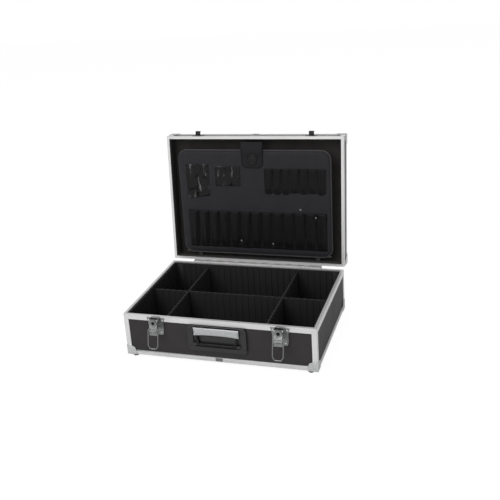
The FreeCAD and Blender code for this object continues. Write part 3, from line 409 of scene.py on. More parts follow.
def clear_vinyl():
    # Clear flexible vinyl over a dark ground: see-through and glossy, with painted highlights along a few streaks
    # where it creases.
    colour = linear("0A0A0A")
    material, tree, shader = surface("clear_vinyl", colour, Roughness=0.12, IOR=1.53,
                                     Specular_IOR_Level=0.2, Alpha=0.88)
    # Painted highlight: along a few narrow streaks the colour is lifted up to 42 times, standing for glints of the
    # lamps on the creases.
    streak_size = 9.0
    stretch = (1, 1, 0.22)
    highlight_streaks = add_node(tree, "ShaderNodeTexNoise", {"Vector": place_coordinates(tree, stretch)},
                       Scale=per_metre(streak_size), Detail=2.0)
    painted_highlight = add_node(tree, "ShaderNodeMapRange", {"Value": highlight_streaks.outputs["Fac"]},
                        From_Min=0.6, From_Max=0.7)
    tint(tree, shader, painted_highlight.outputs["Result"], colour, low=1.0, high=42.0)
    wave_size = 16.0
    wave_depth = 1.0
    waves = add_node(tree, "ShaderNodeTexNoise", {"Vector": place_coordinates(tree)},
                     Scale=per_metre(wave_size), Detail=1.0)
    relief(tree, shader, waves.outputs["Fac"], wave_depth, strength=0.15)
    return material


def sewing_thread():
    # Twisted polyester thread, black, with a faint sheen.
    colour = linear("262629")
    material, tree, shader = surface("sewing_thread", colour, Roughness=0.6, Sheen_Weight=0.2)
    twist_size = 0.6
    twist = add_node(tree, "ShaderNodeTexNoise", {"Vector": place_coordinates(tree)},
                     Scale=per_metre(twist_size))
    tint(tree, shader, twist.outputs["Fac"], colour, low=0.7, high=1.3)
    return material


MAKERS = {
    "aluminium": anodised_aluminium,
    "nickel": nickel_plate,
    "cover_nickel": cover_nickel_plate,
    "shaded_latch_nickel": latch_nickel_plate,
    "zinc": zinc_plate,
    "blackened_and_shade": blackened_steel,
    "board": grained_laminate,
    "lining": foamed_lining,
    "lid_cloth": lid_lining_cloth,
    "pallet_cloth": pallet_nylon,
    "strap_cloth": strap_nylon,
    "pocket_cloth": pocket_nylon,
    "piping": binding_tape,
    "plastic": surround_plastic,
    "handle": handle_plastic,
    "rubber": moulded_rubber,
    "vinyl": clear_vinyl,
    "thread": sewing_thread,
}
made = {}


def material(key):
    if key not in made:
        made[key] = MAKERS[key]()
    return made[key]


# Mesh helpers


def finish_piece(name, mesh, key, body, replaced=None):
    """Makes the object, gives it its material and body, and hides the nodes it stands for."""
    for polygon in mesh.polygons:
        polygon.use_smooth = True
    piece = bpy.data.objects.new(name, mesh)
    bpy.context.scene.collection.objects.link(piece)
    mesh.materials.append(material(key))
    mesh.set_sharp_from_angle(angle=EDGE_ANGLE)
    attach(piece, body)
    if replaced:
        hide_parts(*replaced)
    return piece


def to_mesh(bm, name):
    mesh = bpy.data.meshes.new(name)
    bm.to_mesh(mesh)
    bm.free()
    return mesh


def body_of(node):
    for body, members in frame["record"]["behaviour"]["bodies"].items():
        if node in members:
            return body
    raise RuntimeError("no body holds " + node)


def rounded_node(node, key, width, segments=2):
    """Stands for a rigid node with the same shape, its edges rounded by a live bevel."""
    bm = bmesh.new()
    bm.from_mesh(frame["nodes"][node].data)
    bmesh.ops.remove_doubles(bm, verts=bm.verts, dist=MERGE_DISTANCE)
    bmesh.ops.dissolve_limit(bm, angle_limit=FLAT_ANGLE, verts=bm.verts, edges=bm.edges,
                             use_dissolve_boundaries=False)
    piece = finish_piece(node + "_finish", to_mesh(bm, node + "_finish"), key, body_of(node), [node])
    bevel = piece.modifiers.new("edge", "BEVEL")
    bevel.width = width
    bevel.segments = segments
    bevel.limit_method = "ANGLE"
    bevel.angle_limit = EDGE_ANGLE
    bevel.harden_normals = True


# Lid lining and handle cover, drawn in millimetres in the shut case's frame

LID_OPENING = math.radians(-95)
TRAY_HALF_WIDTH = 222.7
TRAY_HALF_DEPTH = 157.7
TRAY_LOW = 105.6
TRAY_HIGH = 139.2
TRAY_THICKNESS = 1.4
TRAY_CORNER = 4.0
TRAY_STEPS = ((0.0, 0.0), (0.0, 0.35), (0.0, 0.7), (0.0, 0.9), (0.6, 0.96), (1.8, 0.99), (4.0, 1.0),
              (30.0, 1.0), (60.0, 1.0), (90.0, 1.0), (120.0, 1.0), (150.0, 1.0))
COVER_HALF_WIDTH = 54.0
COVER_MIDDLE = 77.2
COVER_BACK = 173.5
COVER_DEPTH = 2.3
COVER_HALF_HEIGHT = 8.5
COVER_FLARE = 1.4
COVER_ARCH = 1.5
COVER_NOTCH = 3.0
COVER_STATIONS = 28
COVER_STEPS = 12


def lid_tray():
    """The cloth glued inside the lid: walls, a soft fold, and the top, turned open with the lid."""
    least_corner = 0.5
    wave_size = 40.0
    wave_height = 0.4
    rings = []
    for inset, rise in TRAY_STEPS:
        corner = max(TRAY_CORNER - inset, least_corner)
        outline = round_outline(TRAY_HALF_WIDTH - inset, inset - TRAY_HALF_DEPTH,
                                TRAY_HALF_DEPTH - inset, corner)
        height = TRAY_LOW + rise * (TRAY_HIGH - TRAY_LOW)
        rings.append([(x, y, height - abs(ripple((x, y, height), wave_size, wave_height, seed=2.0)))
                      for x, y in outline])
    bm, loops = lofted(rings)
    bmesh.ops.holes_fill(bm, edges=loops[-1])
    bmesh.ops.recalc_face_normals(bm, faces=bm.faces)
    turned = Matrix.Rotation(LID_OPENING, 4, "X") @ Matrix.Translation(-HINGE_LINE) @ Matrix.Scale(MM, 4)
    bmesh.ops.transform(bm, matrix=Matrix.Translation(HINGE_LINE) @ turned, verts=bm.verts)
    return bm


def cover_plate():
    """The bright cover of the grip: bowed out, arched up a little, its ends flared and notched."""
    rings = []
    for station in range(COVER_STATIONS + 1):
        share = station / COVER_STATIONS * 2 - 1
        half_height = COVER_HALF_HEIGHT + COVER_FLARE * abs(share) ** 3
        middle = COVER_MIDDLE + COVER_ARCH * (1 - share * share)
        ring = []
        for step in range(COVER_STEPS + 1):
            turn = math.pi * step / COVER_STEPS
            out = COVER_DEPTH * math.sin(turn) ** 0.5
            notch = COVER_NOTCH * share ** 7 * (1 - abs(math.cos(turn)))
            ring.append(Vector((share * COVER_HALF_WIDTH - notch, -COVER_BACK - out,
                                middle + half_height * math.cos(turn))) * MM)
        rings.append(ring)
    bm, loops = lofted(rings)
    bmesh.ops.holes_fill(bm, edges=loops[0] + loops[-1])
    bmesh.ops.recalc_face_normals(bm, faces=bm.faces)
    return bm


# Pieces


class TOOLCASE_OT_metalwork(bpy.types.Operator):
    """Finish the edging, rims, posts, caps, rivets and hinge"""
    bl_idname = "toolcase.metalwork"
    bl_label = "Metalwork"

    def execute(self, context):
        width = sizes().metal_edge
        for node in ("base_rim", "base_bottom_edging", "base_corner_posts",
                     "lid_rim", "lid_top_edging", "lid_corner_posts"):
            rounded_node(node, "aluminium", width)
        for node in ("base_corner_caps", "lid_corner_caps", "base_rivets", "lid_rivets"):
            rounded_node(node, "nickel", width)
        for node in ("base_joint_clip", "lid_joint_clip"):
            rounded_node(node, "shaded_latch_nickel", width)
        for node in ("hinge_base_leaf", "hinge_lid_leaf", "hinge_pin", "pallet_rod", "foot_screws"):
            rounded_node(node, "zinc", width / 2)
        return {"FINISHED"}


class TOOLCASE_OT_boards(bpy.types.Operator):
    """Finish the laminated boards"""
    bl_idname = "toolcase.boards"
    bl_label = "Boards"

    def execute(self, context):
        for node in ("base_bottom_panel", "base_front_panel", "base_back_panel", "base_left_panel",
                     "base_right_panel", "lid_top_panel", "lid_long_panels", "lid_end_panels",
                     "pallet_board"):
            rounded_node(node, "board", sizes().board_edge)
        return {"FINISHED"}


class TOOLCASE_OT_lining(bpy.types.Operator):
    """Finish the ribbed lining and the dividers"""
    bl_idname = "toolcase.lining"
    bl_label = "Lining and dividers"

    def execute(self, context):
        for node in ("base_wall_lining", "long_divider", "left_cross_divider", "right_cross_divider"):
            rounded_node(node, "lining", sizes().foam_edge, segments=3)
        rounded_node("base_floor_liner", "lining", sizes().metal_edge)
        cloth = finish_piece("lid_lining_cloth", to_mesh(lid_tray(), "lid_lining_cloth"), "lid_cloth", "lid",
                             ["lid_lining"])
        thickened(cloth, TRAY_THICKNESS)
        return {"FINISHED"}


class TOOLCASE_OT_latches(bpy.types.Operator):
    """Finish the latch plates, levers, locks, bails and catches"""
    bl_idname = "toolcase.latches"
    bl_label = "Latches"

    def execute(self, context):
        width = sizes().metal_edge
        for side in ("left", "right"):
            for node in ("latch_plate_", "latch_lever_"):
                rounded_node(node + side, "shaded_latch_nickel", width, segments=3)
            for node in ("lock_barrel_", "lid_catch_"):
                rounded_node(node + side, "blackened_and_shade", width, segments=3)
            rounded_node("bail_" + side, "shaded_latch_nickel", width / 4, segments=1)
        rounded_node("lever_pins", "nickel", width / 2)
        return {"FINISHED"}


class TOOLCASE_OT_handle(bpy.types.Operator):
    """Finish the handle and its surround"""
    bl_idname = "toolcase.handle"
    bl_label = "Handle"

    def execute(self, context):
        width = sizes().plastic_edge
        rounded_node("handle_surround", "plastic", width, segments=3)
        rounded_node("handle_frame", "handle", width / 2, segments=3)
        finish_piece("handle_cover_plate", to_mesh(cover_plate(), "handle_cover_plate"), "cover_nickel",
                     "handle", ["handle_cover"])
        rounded_node("handle_pin", "zinc", sizes().metal_edge)
        rounded_node("handle_screws", "blackened_and_shade", sizes().metal_edge)
        return {"FINISHED"}


class TOOLCASE_OT_feet(bpy.types.Operator):
    """Finish the rubber feet"""
    bl_idname = "toolcase.feet"
    bl_label = "Feet"

    def execute(self, context):
        rounded_node("rubber_feet", "rubber", sizes().plastic_edge / 2, segments=3)
        return {"FINISHED"}


# The pallet is drawn upright in millimetres: x across, z up from its rod, and -y to the viewer.

PALLET_LEAN = math.radians(-2.0)
ROD_BEHIND_FACE = 7.0
PALLET_HALF_WIDTH = 200.0
PALLET_LOW = -1.5
PALLET_HIGH = 278.3
PALLET_CORNER = 25.0
FACE_HALF_WIDTH = 196.0
FACE_LOW = 2.5
FACE_HIGH = 274.3
FACE_CORNER = 21.0
FACE_PROUD = 1.5
LONG_ROW = {"left": -182.0, "right": 187.0, "low": 18.1, "high": 116.9, "count": 13, "proud": 7.0,
            "sag": 2.0, "lean": 3.0, "seed": 11}
LOOP_ROW = {"left": 29.0, "right": 187.0, "low": 169.8, "high": 231.0, "count": 7, "proud": 4.5,
            "sag": 7.0, "lean": 5.0, "seed": 5}
CLEAR_POCKETS = (
    {"left": -179.0, "right": -119.0, "low": 148.9, "high": 240.7, "slant": 8.7, "seed": 4.0},
    {"left": -100.0, "right": -35.0, "low": 183.7, "high": 235.1, "slant": 1.5, "seed": 7.0},
)
STUD_PLACES = ((-40.1, 36.2), (45.1, 30.9), (158.6, 105.2))
STUD_RADIUS = 3.4
STUD_EASE = 5.0
STRAP_HALF_WIDTH = 28.0
STRAP_LOW = 232.1
STRAP_HIGH = 298.4
STRAP_CORNER = 13.0
STRAP_THICKNESS = 1.5
SNAP_HEIGHT = 253.8
SNAP_PROFILE = ((0.0, 2.0), (4.3, 2.3), (6.0, 1.7), (9.3, 1.7), (10.4, 2.4), (12.3, 2.2), (13.4, 1.2),
                (13.5, 0.0))
SPIN_STEPS = 40
PROFILE_STEPS = 8
CORNER_STEPS = 8
OUTLINE_STEP = 12.0


def placed_on_pallet(bm):
    """Brings an upright drawing in millimetres to its place on the pallet, in metres."""
    turned = Matrix.Rotation(PALLET_LEAN, 4, "X") @ Matrix.Scale(MM, 4)
    place = Matrix.Translation(PALLET_LINE) @ turned @ Matrix.Translation((0, -ROD_BEHIND_FACE, 0))
    bmesh.ops.transform(bm, matrix=place, verts=bm.verts)


def upright_grid(columns, rows):
    """A unit grid standing in the XZ plane, from 0 to 1 both ways."""
    bm = bmesh.new()
    bmesh.ops.create_grid(bm, x_segments=columns, y_segments=rows, size=0.5)
    bmesh.ops.rotate(bm, verts=bm.verts, matrix=Matrix.Rotation(math.radians(90), 3, "X"))
    bmesh.ops.translate(bm, verts=bm.verts, vec=(0.5, 0, 0.5))
    return bm


def ripple(place, size, amount, seed):
    """A smooth small movement that depends only on the place."""
    return amount * noise.noise(Vector(place) / size + Vector((seed, seed, seed)))


def eased(value):
    value = min(max(value, 0.0), 1.0)
    return value * value * (3 - 2 * value)


def pressed(x, z):
    """How far cloth may stand off: nought under a stud, one away from it."""
    nearest = min(math.hypot(x - stud_x, z - stud_z) for stud_x, stud_z in STUD_PLACES)
    return eased((nearest - STUD_RADIUS) / STUD_EASE)


def facing_sheet():
    """The padded facing: rounded corners, its edge drawn back to the board, pressed in along the seams."""
    bm = upright_grid(columns=120, rows=84)
    soft_edge = 6.0
    seam_width = 4.0
    seam_dip_share = 0.5
    wave_size = 30.0
    wave_height = 0.25
    for vertex in bm.verts:
        x = (vertex.co.x * 2 - 1) * FACE_HALF_WIDTH
        z = FACE_LOW + vertex.co.z * (FACE_HIGH - FACE_LOW)
        centre_x = FACE_HALF_WIDTH - FACE_CORNER
        middle = (FACE_LOW + FACE_HIGH) / 2
        centre_z = (FACE_HIGH - FACE_LOW) / 2 - FACE_CORNER
        over_x = abs(x) - centre_x
        over_z = abs(z - middle) - centre_z
        if over_x > 0 and over_z > 0:
            pull = max(over_x, over_z) / math.hypot(over_x, over_z)
            x = math.copysign(centre_x + over_x * pull, x)
            z = middle + math.copysign(centre_z + over_z * pull, z - middle)
            inside = FACE_CORNER - max(over_x, over_z)
        else:
            inside = min(FACE_CORNER - over_x, FACE_CORNER - over_z)
        proud = FACE_PROUD * eased(inside / soft_edge)
        for row in (LONG_ROW, LOOP_ROW):
            if row["left"] < x < row["right"]:
                dip = 1 - eased(abs(z - row["low"]) / seam_width)
                proud -= seam_dip_share * FACE_PROUD * dip
        wave = ripple((x, 0, z), wave_size, wave_height, seed=3.0)
        vertex.co = (x, -proud - wave * eased(inside / soft_edge), z)
    placed_on_pallet(bm)
    return bm


def gathered_strip(row):
    """A strip of nylon sewn down between its pockets, its spare length standing out as soft folds."""
    least_full_share = 0.75
    most_skew_share = 0.12
    foot_skew_share = 0.3
    seam_share = 0.22
    foot_body_share, body_rise_share = 0.55, 0.45
    fold_share = 0.16
    fold_seam_share = 0.1
    even_sag_share, uneven_sag_share = 0.6, 0.4
    mouth_drop = 1.2
    crumple_size = 9.0
    crumple_height = 0.5
    stand_off = 0.35
    room_in_front = 0.4
    just_under = 1e-6
    picker = random.Random(row["seed"])
    count = row["count"]
    width = (row["right"] - row["left"]) / count
    lively = [(picker.uniform(least_full_share, 1.0), picker.uniform(-most_skew_share, most_skew_share),
               picker.uniform(-1, 1)) for _ in range(count)]
    bm = upright_grid(columns=count * 14, rows=26)
    for vertex in bm.verts:
        u = min(vertex.co.x * count, count - just_under)
        v = vertex.co.z
        index = int(u)
        share = u - index
        fullness, skew, drop = lively[index]
        if vertex.co.x >= 1:
            share = 1.0
        arch = math.sin(math.pi * share) ** 0.6
        bend = share + skew * math.sin(math.pi * share) * (foot_skew_share + v)
        x = row["left"] + (index + bend) * width + row["lean"] * (v - 0.5) * math.sin(math.pi * share)
        body = eased(v / seam_share) * (foot_body_share + body_rise_share * v)
        fold = fold_share * math.sin(2 * math.pi * (share * 2 + skew)) * (1 - v) ** 0.5
        proud = row["proud"] * (arch * body * fullness + fold * arch * eased(v / fold_seam_share))
        z = row["low"] + v * (row["high"] - row["low"])
        z -= row["sag"] * arch * (even_sag_share + uneven_sag_share * drop) * (1 - v) ** 2
        z -= mouth_drop * arch * v ** 3 * fullness
        out = max(proud + ripple((x, 0, z), crumple_size, crumple_height, row["seed"]) * arch, 0.0)
        out = min(out, row["proud"] - room_in_front) * pressed(x, z)
        vertex.co = (x, -FACE_PROUD - stand_off - out, z)
    placed_on_pallet(bm)
    return bm


def vinyl_sheet(pocket):
    """A clear pocket: flat at its sewn sides and foot, buckled in between, with a slanting foot."""
    bm = upright_grid(columns=60, rows=36)
    fold_count = 2
    fold_height = 2.6
    wander_size = 40.0
    wander = 2.0
    crumple_size = 26.0
    crumple_height = 3.0
    foot_share = 0.15
    lift = 0.8
    for vertex in bm.verts:
        u, v = vertex.co.x, vertex.co.z
        x = pocket["left"] + u * (pocket["right"] - pocket["left"])
        foot = pocket["low"] + pocket["slant"] * u
        z = foot + v * (pocket["high"] - foot)
        free = math.sin(math.pi * u) ** 0.5 * eased(v / foot_share)
        turn = fold_count * math.pi * u + ripple((x, 0, z), wander_size, wander, pocket["seed"])
        fold = 1 - abs(math.sin(turn)) ** 0.5
        crumple = ripple((x, 0, z), crumple_size, crumple_height, pocket["seed"])
        buckle = (fold_height * fold + crumple) * free
        vertex.co = (x, -FACE_PROUD - lift - max(buckle, 0.0), z)
    placed_on_pallet(bm)
    return bm


def lofted(rings):
    """Skins closed rings of points, one after the other."""
    bm = bmesh.new()
    loops = []
    for points in rings:
        corners = [bm.verts.new(point) for point in points]
        loops.append([bm.edges.new((corners[i - 1], corners[i])) for i in range(len(corners))])
    for first, second in zip(loops, loops[1:]):
        bmesh.ops.bridge_loops(bm, edges=first + second)
    return bm, loops


def binding_strip(points, half_width, thickness, closed=False):
    """Narrow tape folded over an edge, along points in the pallet's face."""
    turns = [2 * math.pi * step / PROFILE_STEPS for step in range(PROFILE_STEPS)]
    rings = []
    last = len(points) - 1
    for index, point in enumerate(points):
        before = points[index - 1] if closed else points[max(index - 1, 0)]
        after = points[(index + 1) % len(points)] if closed else points[min(index + 1, last)]
        along = (Vector(after) - Vector(before)).normalized()
        side = Vector((-along.z, 0, along.x))
        rings.append([Vector(point) + side * math.cos(turn) * half_width
                      + Vector((0, math.sin(turn) * thickness, 0)) for turn in turns])
    bm, loops = lofted(rings)
    if closed:
        bmesh.ops.bridge_loops(bm, edges=loops[-1] + loops[0])
    else:
        bmesh.ops.holes_fill(bm, edges=loops[0] + loops[-1], sides=PROFILE_STEPS)
    bmesh.ops.recalc_face_normals(bm, faces=bm.faces)
    placed_on_pallet(bm)
    return bm


def round_outline(half, low, high, corner):
    """Points round a rectangle with round corners, closely spaced, as x and z."""
    points = []
    middles = ((half - corner, high - corner), (corner - half, high - corner),
               (corner - half, low + corner), (half - corner, low + corner))
    for quarter, (x, z) in enumerate(middles):
        for step in range(CORNER_STEPS + 1):
            turn = (quarter + step / CORNER_STEPS) * math.pi / 2
            points.append((x + corner * math.cos(turn), z + corner * math.sin(turn)))
        end = Vector(points[-1])
        turn = (quarter + 1) * math.pi / 2
        x, z = middles[(quarter + 1) % len(middles)]
        start = Vector((x + corner * math.cos(turn), z + corner * math.sin(turn)))
        pieces = max(int((start - end).length / OUTLINE_STEP), 1)
        points += [tuple(end.lerp(start, i / pieces)) for i in range(1, pieces)]
    return points


def edge_binding():
    """The tape bound over the pallet's edge: a soft tube round it, slightly uneven."""
    inset = 1.0
    half_width = 1.3
    half_depth = 2.2
    middle = 0.9
    wave_size = 18.0
    wave_height = 0.3
    outline = round_outline(PALLET_HALF_WIDTH - inset, PALLET_LOW + inset, PALLET_HIGH - inset,
                            PALLET_CORNER - inset)
    points = [(x, middle + ripple((x, 0, z), wave_size, wave_height, seed=6.0), z) for x, z in outline]
    return binding_strip(points, half_width, half_depth, closed=True)


def stitches(lines):
    """Sewn stitches along straight lines in the pallet's face: a small flattened bead for each."""
    bm = bmesh.new()
    length = sizes().stitch_length / MM
    radius = sizes().stitch_radius / MM
    gap_share = 1.45
    for start, end in lines:
        start = Vector(start)
        run = Vector(end) - start
        count = max(int(run.length / (length * gap_share)), 1)
        turn = run.to_track_quat("X", "Y").to_matrix().to_4x4()
        for index in range(count):
            middle = start + run * ((index + 0.5) / count)
            place = Matrix.Translation(middle) @ turn @ Matrix.Diagonal((length / 2, radius, radius, 1))
            bmesh.ops.create_uvsphere(bm, u_segments=6, v_segments=4, radius=1, matrix=place)
    placed_on_pallet(bm)
    return bm


def thickened(piece, thickness, offset=0.0):
    """Gives a sheet its thickness with a live modifier."""
    wall = piece.modifiers.new("thickness", "SOLIDIFY")
    wall.thickness = thickness * MM
    wall.offset = offset


def strap_out(x, z):
    """How the strap's middle lies off the board: a little bowed above the snap, with a wavy edge."""
    bow_height = 1.2
    wave_size = 14.0
    wave_height = 0.5
    bow = bow_height * math.sin(math.pi * eased((z - SNAP_HEIGHT) / (STRAP_HIGH - SNAP_HEIGHT)))
    return -FACE_PROUD - STRAP_THICKNESS / 2 - bow - ripple((x, 0, z), wave_size, wave_height, seed=8.0)


def strap_sheet():
    """The flap strap: round lower corners, hung from above the pallet."""
    bm = upright_grid(columns=30, rows=40)
    for vertex in bm.verts:
        x = (vertex.co.x * 2 - 1) * STRAP_HALF_WIDTH
        z = STRAP_LOW + vertex.co.z * (STRAP_HIGH - STRAP_LOW)
        over_x = abs(x) - (STRAP_HALF_WIDTH - STRAP_CORNER)
        over_z = (STRAP_LOW + STRAP_CORNER) - z
        if over_x > 0 and over_z > 0:
            pull = max(over_x, over_z) / math.hypot(over_x, over_z)
            x = math.copysign(STRAP_HALF_WIDTH - STRAP_CORNER + over_x * pull, x)
            z = STRAP_LOW + STRAP_CORNER - over_z * pull
        vertex.co = (x, strap_out(x, z), z)
    placed_on_pallet(bm)
    return bm


def strap_binding():
    """Tape bound round the strap's sides and foot."""
    inset = 1.2
    half_width = 2.0
    half_depth = 1.1
    outline = round_outline(STRAP_HALF_WIDTH - inset, STRAP_LOW + inset, 2 * STRAP_HIGH - STRAP_LOW,
                            STRAP_CORNER)
    outline = [(x, z) for x, z in outline if z < STRAP_HIGH - inset]
    points = [(x, strap_out(x, z), z) for x, z in outline]
    return binding_strip(points, half_width, half_depth)


def snap_button():
    """The press stud on the strap: a turned cap with a raised ring."""
    merge_gap = 0.01
    bm = bmesh.new()
    corners = [bm.verts.new((radius, -rise, 0)) for radius, rise in SNAP_PROFILE]
    edges = [bm.edges.new(pair) for pair in zip(corners, corners[1:])]
    bmesh.ops.spin(bm, geom=corners + edges, cent=(0, 0, 0), axis=(0, 1, 0), angle=2 * math.pi,
                   steps=SPIN_STEPS, use_merge=True)
    bmesh.ops.remove_doubles(bm, verts=bm.verts, dist=merge_gap)
    bmesh.ops.recalc_face_normals(bm, faces=bm.faces)
    bmesh.ops.translate(bm, verts=bm.verts, vec=(0, -FACE_PROUD - STRAP_THICKNESS, SNAP_HEIGHT))
    placed_on_pallet(bm)
    return bm


def seam_lines():
    """Where the pallet is sewn: round its face and between the pockets."""
    lines = []
    inset = 7.0
    thread_lift = 0.1
    strip_lift = 0.7
    seam_end = 1
    out = -FACE_PROUD - thread_lift
    side = FACE_HALF_WIDTH - inset
    low, high = FACE_LOW + inset, FACE_HIGH - inset
    corner = FACE_CORNER - inset
    lines += [((-side + corner, out, low), (side - corner, out, low)),
              ((-side + corner, out, high), (side - corner, out, high)),
              ((-side, out, low + corner), (-side, out, high - corner)),
              ((side, out, low + corner), (side, out, high - corner))]
    for row in (LONG_ROW, LOOP_ROW):
        width = (row["right"] - row["left"]) / row["count"]
        for index in range(row["count"] + 1):
            x = row["left"] + index * width
            lines.append(((x, out - strip_lift, row["low"] + seam_end),
                          (x, out - strip_lift, row["high"] - seam_end)))
    return lines


class TOOLCASE_OT_pallet(bpy.types.Operator):
    """Make the pallet's facing, binding, strap and snap"""
    bl_idname = "toolcase.pallet"
    bl_label = "Tool pallet"

    def execute(self, context):
        facing_thickness = 0.5
        strap_inset = 0.2
        facing = finish_piece("pallet_face_cloth", to_mesh(facing_sheet(), "pallet_face_cloth"),
                              "pallet_cloth", "pallet", ["pallet_facing"])
        thickened(facing, facing_thickness, offset=1.0)
        finish_piece("pallet_edge_tape", to_mesh(edge_binding(), "pallet_edge_tape"), "piping", "pallet",
                     ["pallet_piping"])
        strap = finish_piece("strap_flap", to_mesh(strap_sheet(), "strap_flap"), "strap_cloth", "pallet",
                             ["pallet_strap"])
        thickened(strap, STRAP_THICKNESS - strap_inset)
        tape = finish_piece("strap_tape", to_mesh(strap_binding(), "strap_tape"), "pocket_cloth", "pallet")
        snap = finish_piece("strap_press_stud", to_mesh(snap_button(), "strap_press_stud"), "handle",
                            "pallet", ["strap_snap"])
        finish_piece("pallet_stitching", to_mesh(stitches(seam_lines()), "pallet_stitching"), "thread",
                     "pallet")
        for node, key in (("pallet_studs", "zinc"), ("pallet_hinge_sleeves", "plastic"),
                          ("pallet_brackets", "plastic")):
            rounded_node(node, key, sizes().metal_edge)
        return {"FINISHED"}


class TOOLCASE_OT_pockets(bpy.types.Operator):
    """Make the gathered tool pockets, the loops and the clear pockets"""
    bl_idname = "toolcase.pockets"
    bl_label = "Pockets"

    def execute(self, context):
        cloth_thickness = 0.6
        vinyl_thickness = 0.4
        tape_half_width = 1.6
        tape_half_depth = 0.7
        tape_lift = 0.4
        for name, node, row in (("tool_pocket_strip", "pallet_tool_pockets", LONG_ROW),
                                ("tool_loop_strip", "pallet_tool_loops", LOOP_ROW)):
            strip = finish_piece(name, to_mesh(gathered_strip(row), name), "pocket_cloth",
                                 "pallet", [node])
            thickened(strip, cloth_thickness)
        vinyls = bmesh.new()
        edges = bmesh.new()
        for pocket in CLEAR_POCKETS:
            vinyls.from_mesh(to_mesh(vinyl_sheet(pocket), "part"))
            left, right = pocket["left"], pocket["right"]
            low, high = pocket["low"], pocket["high"]
            out = -FACE_PROUD - tape_lift
            outline = ((left, out, high), (left, out, low), (right, out, low + pocket["slant"]),
                       (right, out, high))
            for ends in zip(outline, outline[1:]):
                edges.from_mesh(to_mesh(binding_strip(ends, tape_half_width, tape_half_depth), "part"))
        sheet = finish_piece("clear_pocket_sheets", to_mesh(vinyls, "clear_pocket_sheets"), "vinyl", "pallet",
                             ["clear_pockets"])
        thickened(sheet, vinyl_thickness)
        finish_piece("clear_pocket_binding", to_mesh(edges, "clear_pocket_binding"), "pocket_cloth", "pallet")
        return {"FINISHED"}


# Stage

CAMERA_PLACE = Vector((574.6, -1682.2, 909.0)) * MM
CAMERA_TURN = [math.radians(angle) for angle in (68.416, 4.737, 19.107)]
SENSOR_WIDTH = 36.0
LENS = 57.67
SHIFT = (0.0865, 0.0059)
FLOOR_SIZE = 12.0
FLOOR_GREY = (0.85, 0.85, 0.85, 1)
FLOOR_GLOW = 1.08
FLOOR_GLOW_SHARE = 0.85
SKY_LIGHT_SHARE = 0.55
LIGHTS_AIM = (0, 0, 0.1)
LIGHTS = (
    {"name": "key", "place": (-1.2, -2.4, 2.6), "size": 1.6, "power": 38},
    {"name": "fill", "place": (-0.4, -3.0, 1.4), "size": 2.0, "power": 16},
    {"name": "top", "place": (0.0, 0.3, 3.0), "size": 2.0, "power": 30},
)


def area_light(name, place, size, power):
    data = bpy.data.lights.new(name, "AREA")
    data.shape = "SQUARE"
    data.size = size
    data.energy = power
    lamp = bpy.data.objects.new(name, data)
    lamp.location = place
    lamp.rotation_euler = (Vector(LIGHTS_AIM) - Vector(place)).to_track_quat("-Z", "Y").to_euler()
    bpy.context.scene.collection.objects.link(lamp)


def white_floor():
    """Plain pale floor: the camera sees it nearly white, and it keeps the case's shadow."""
    floor_material, tree, shader = surface("pale_floor", FLOOR_GREY, Roughness=0.9)
    paths = add_node(tree, "ShaderNodeLightPath")
    glow = add_node(tree, "ShaderNodeEmission", Strength=FLOOR_GLOW)
    seen = add_node(tree, "ShaderNodeMath", {0: paths.outputs["Is Camera Ray"]}, operation="MULTIPLY")
    seen.inputs[1].default_value = FLOOR_GLOW_SHARE
    links = {0: seen.outputs[0], 1: shader.outputs[0], 2: glow.outputs[0]}
    mixed = add_node(tree, "ShaderNodeMixShader", links)
    tree.links.new(mixed.outputs[0], tree.nodes["Material Output"].inputs["Surface"])
    return floor_material


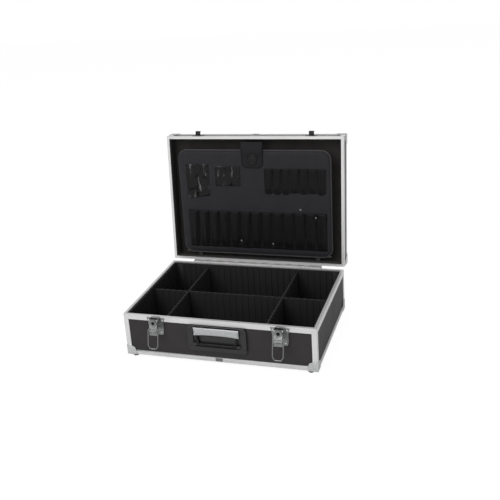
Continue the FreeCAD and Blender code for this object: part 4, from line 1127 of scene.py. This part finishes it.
class TOOLCASE_OT_stage(bpy.types.Operator):
    """Set up the floor, the light and the camera"""
    bl_idname = "toolcase.stage"
    bl_label = "Stage"

    def execute(self, context):
        scene = context.scene
        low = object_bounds()[0]
        bm = bmesh.new()
        bmesh.ops.create_grid(bm, x_segments=1, y_segments=1, size=FLOOR_SIZE / 2)
        bmesh.ops.translate(bm, verts=bm.verts, vec=(0, 0, low[2]))
        floor = bpy.data.objects.new("floor", to_mesh(bm, "floor"))
        scene.collection.objects.link(floor)
        floor.data.materials.append(white_floor())
        floor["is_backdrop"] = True
        world = bpy.data.worlds.new("studio")
        world.use_nodes = True
        scene.world = world
        tree = world.node_tree
        paths = add_node(tree, "ShaderNodeLightPath")
        strength = add_node(tree, "ShaderNodeMapRange", {"Value": paths.outputs["Is Camera Ray"]},
                            To_Min=SKY_LIGHT_SHARE, To_Max=1.0)
        sky = tree.nodes["Background"]
        sky.inputs["Color"].default_value = (1, 1, 1, 1)
        tree.links.new(strength.outputs["Result"], sky.inputs["Strength"])
        for light in LIGHTS:
            area_light(**light)
        data = bpy.data.cameras.new("camera")
        data.sensor_width = SENSOR_WIDTH
        data.lens = LENS
        data.shift_x, data.shift_y = SHIFT
        camera = bpy.data.objects.new("camera", data)
        camera.location = CAMERA_PLACE
        camera.rotation_euler = Euler(CAMERA_TURN)
        scene.collection.objects.link(camera)
        scene.camera = camera
        scene.view_settings.view_transform = "Standard"
        return {"FINISHED"}


OPERATORS = (TOOLCASE_OT_metalwork, TOOLCASE_OT_boards, TOOLCASE_OT_lining, TOOLCASE_OT_latches,
             TOOLCASE_OT_handle, TOOLCASE_OT_feet, TOOLCASE_OT_pallet, TOOLCASE_OT_pockets, TOOLCASE_OT_stage)


class TOOLCASE_PT_panel(bpy.types.Panel):
    """The tool case's pieces, sizes and colours"""
    bl_label = "Tool case"
    bl_idname = "TOOLCASE_PT_panel"
    bl_space_type = "VIEW_3D"
    bl_region_type = "UI"
    bl_category = "Tool case"

    def draw(self, context):
        for group in (context.scene.tool_case_sizes, context.scene.tool_case_colours):
            for key in group.__annotations__:
                self.layout.prop(group, key)
        for operator in OPERATORS:
            self.layout.operator(operator.bl_idname)


CLASSES = (CaseColours, CaseSizes) + OPERATORS + (TOOLCASE_PT_panel,)


def register():
    for each in CLASSES:
        bpy.utils.register_class(each)
    bpy.types.Scene.tool_case_colours = bpy.props.PointerProperty(type=CaseColours)
    bpy.types.Scene.tool_case_sizes = bpy.props.PointerProperty(type=CaseSizes)


def unregister():
    del bpy.types.Scene.tool_case_sizes
    del bpy.types.Scene.tool_case_colours
    for each in reversed(CLASSES):
        bpy.utils.unregister_class(each)


def main():
    register()
    for operator in OPERATORS:
        group, name = operator.bl_idname.split(".")
        getattr(getattr(bpy.ops, group), name)()


if __name__ == "__main__":
    main()
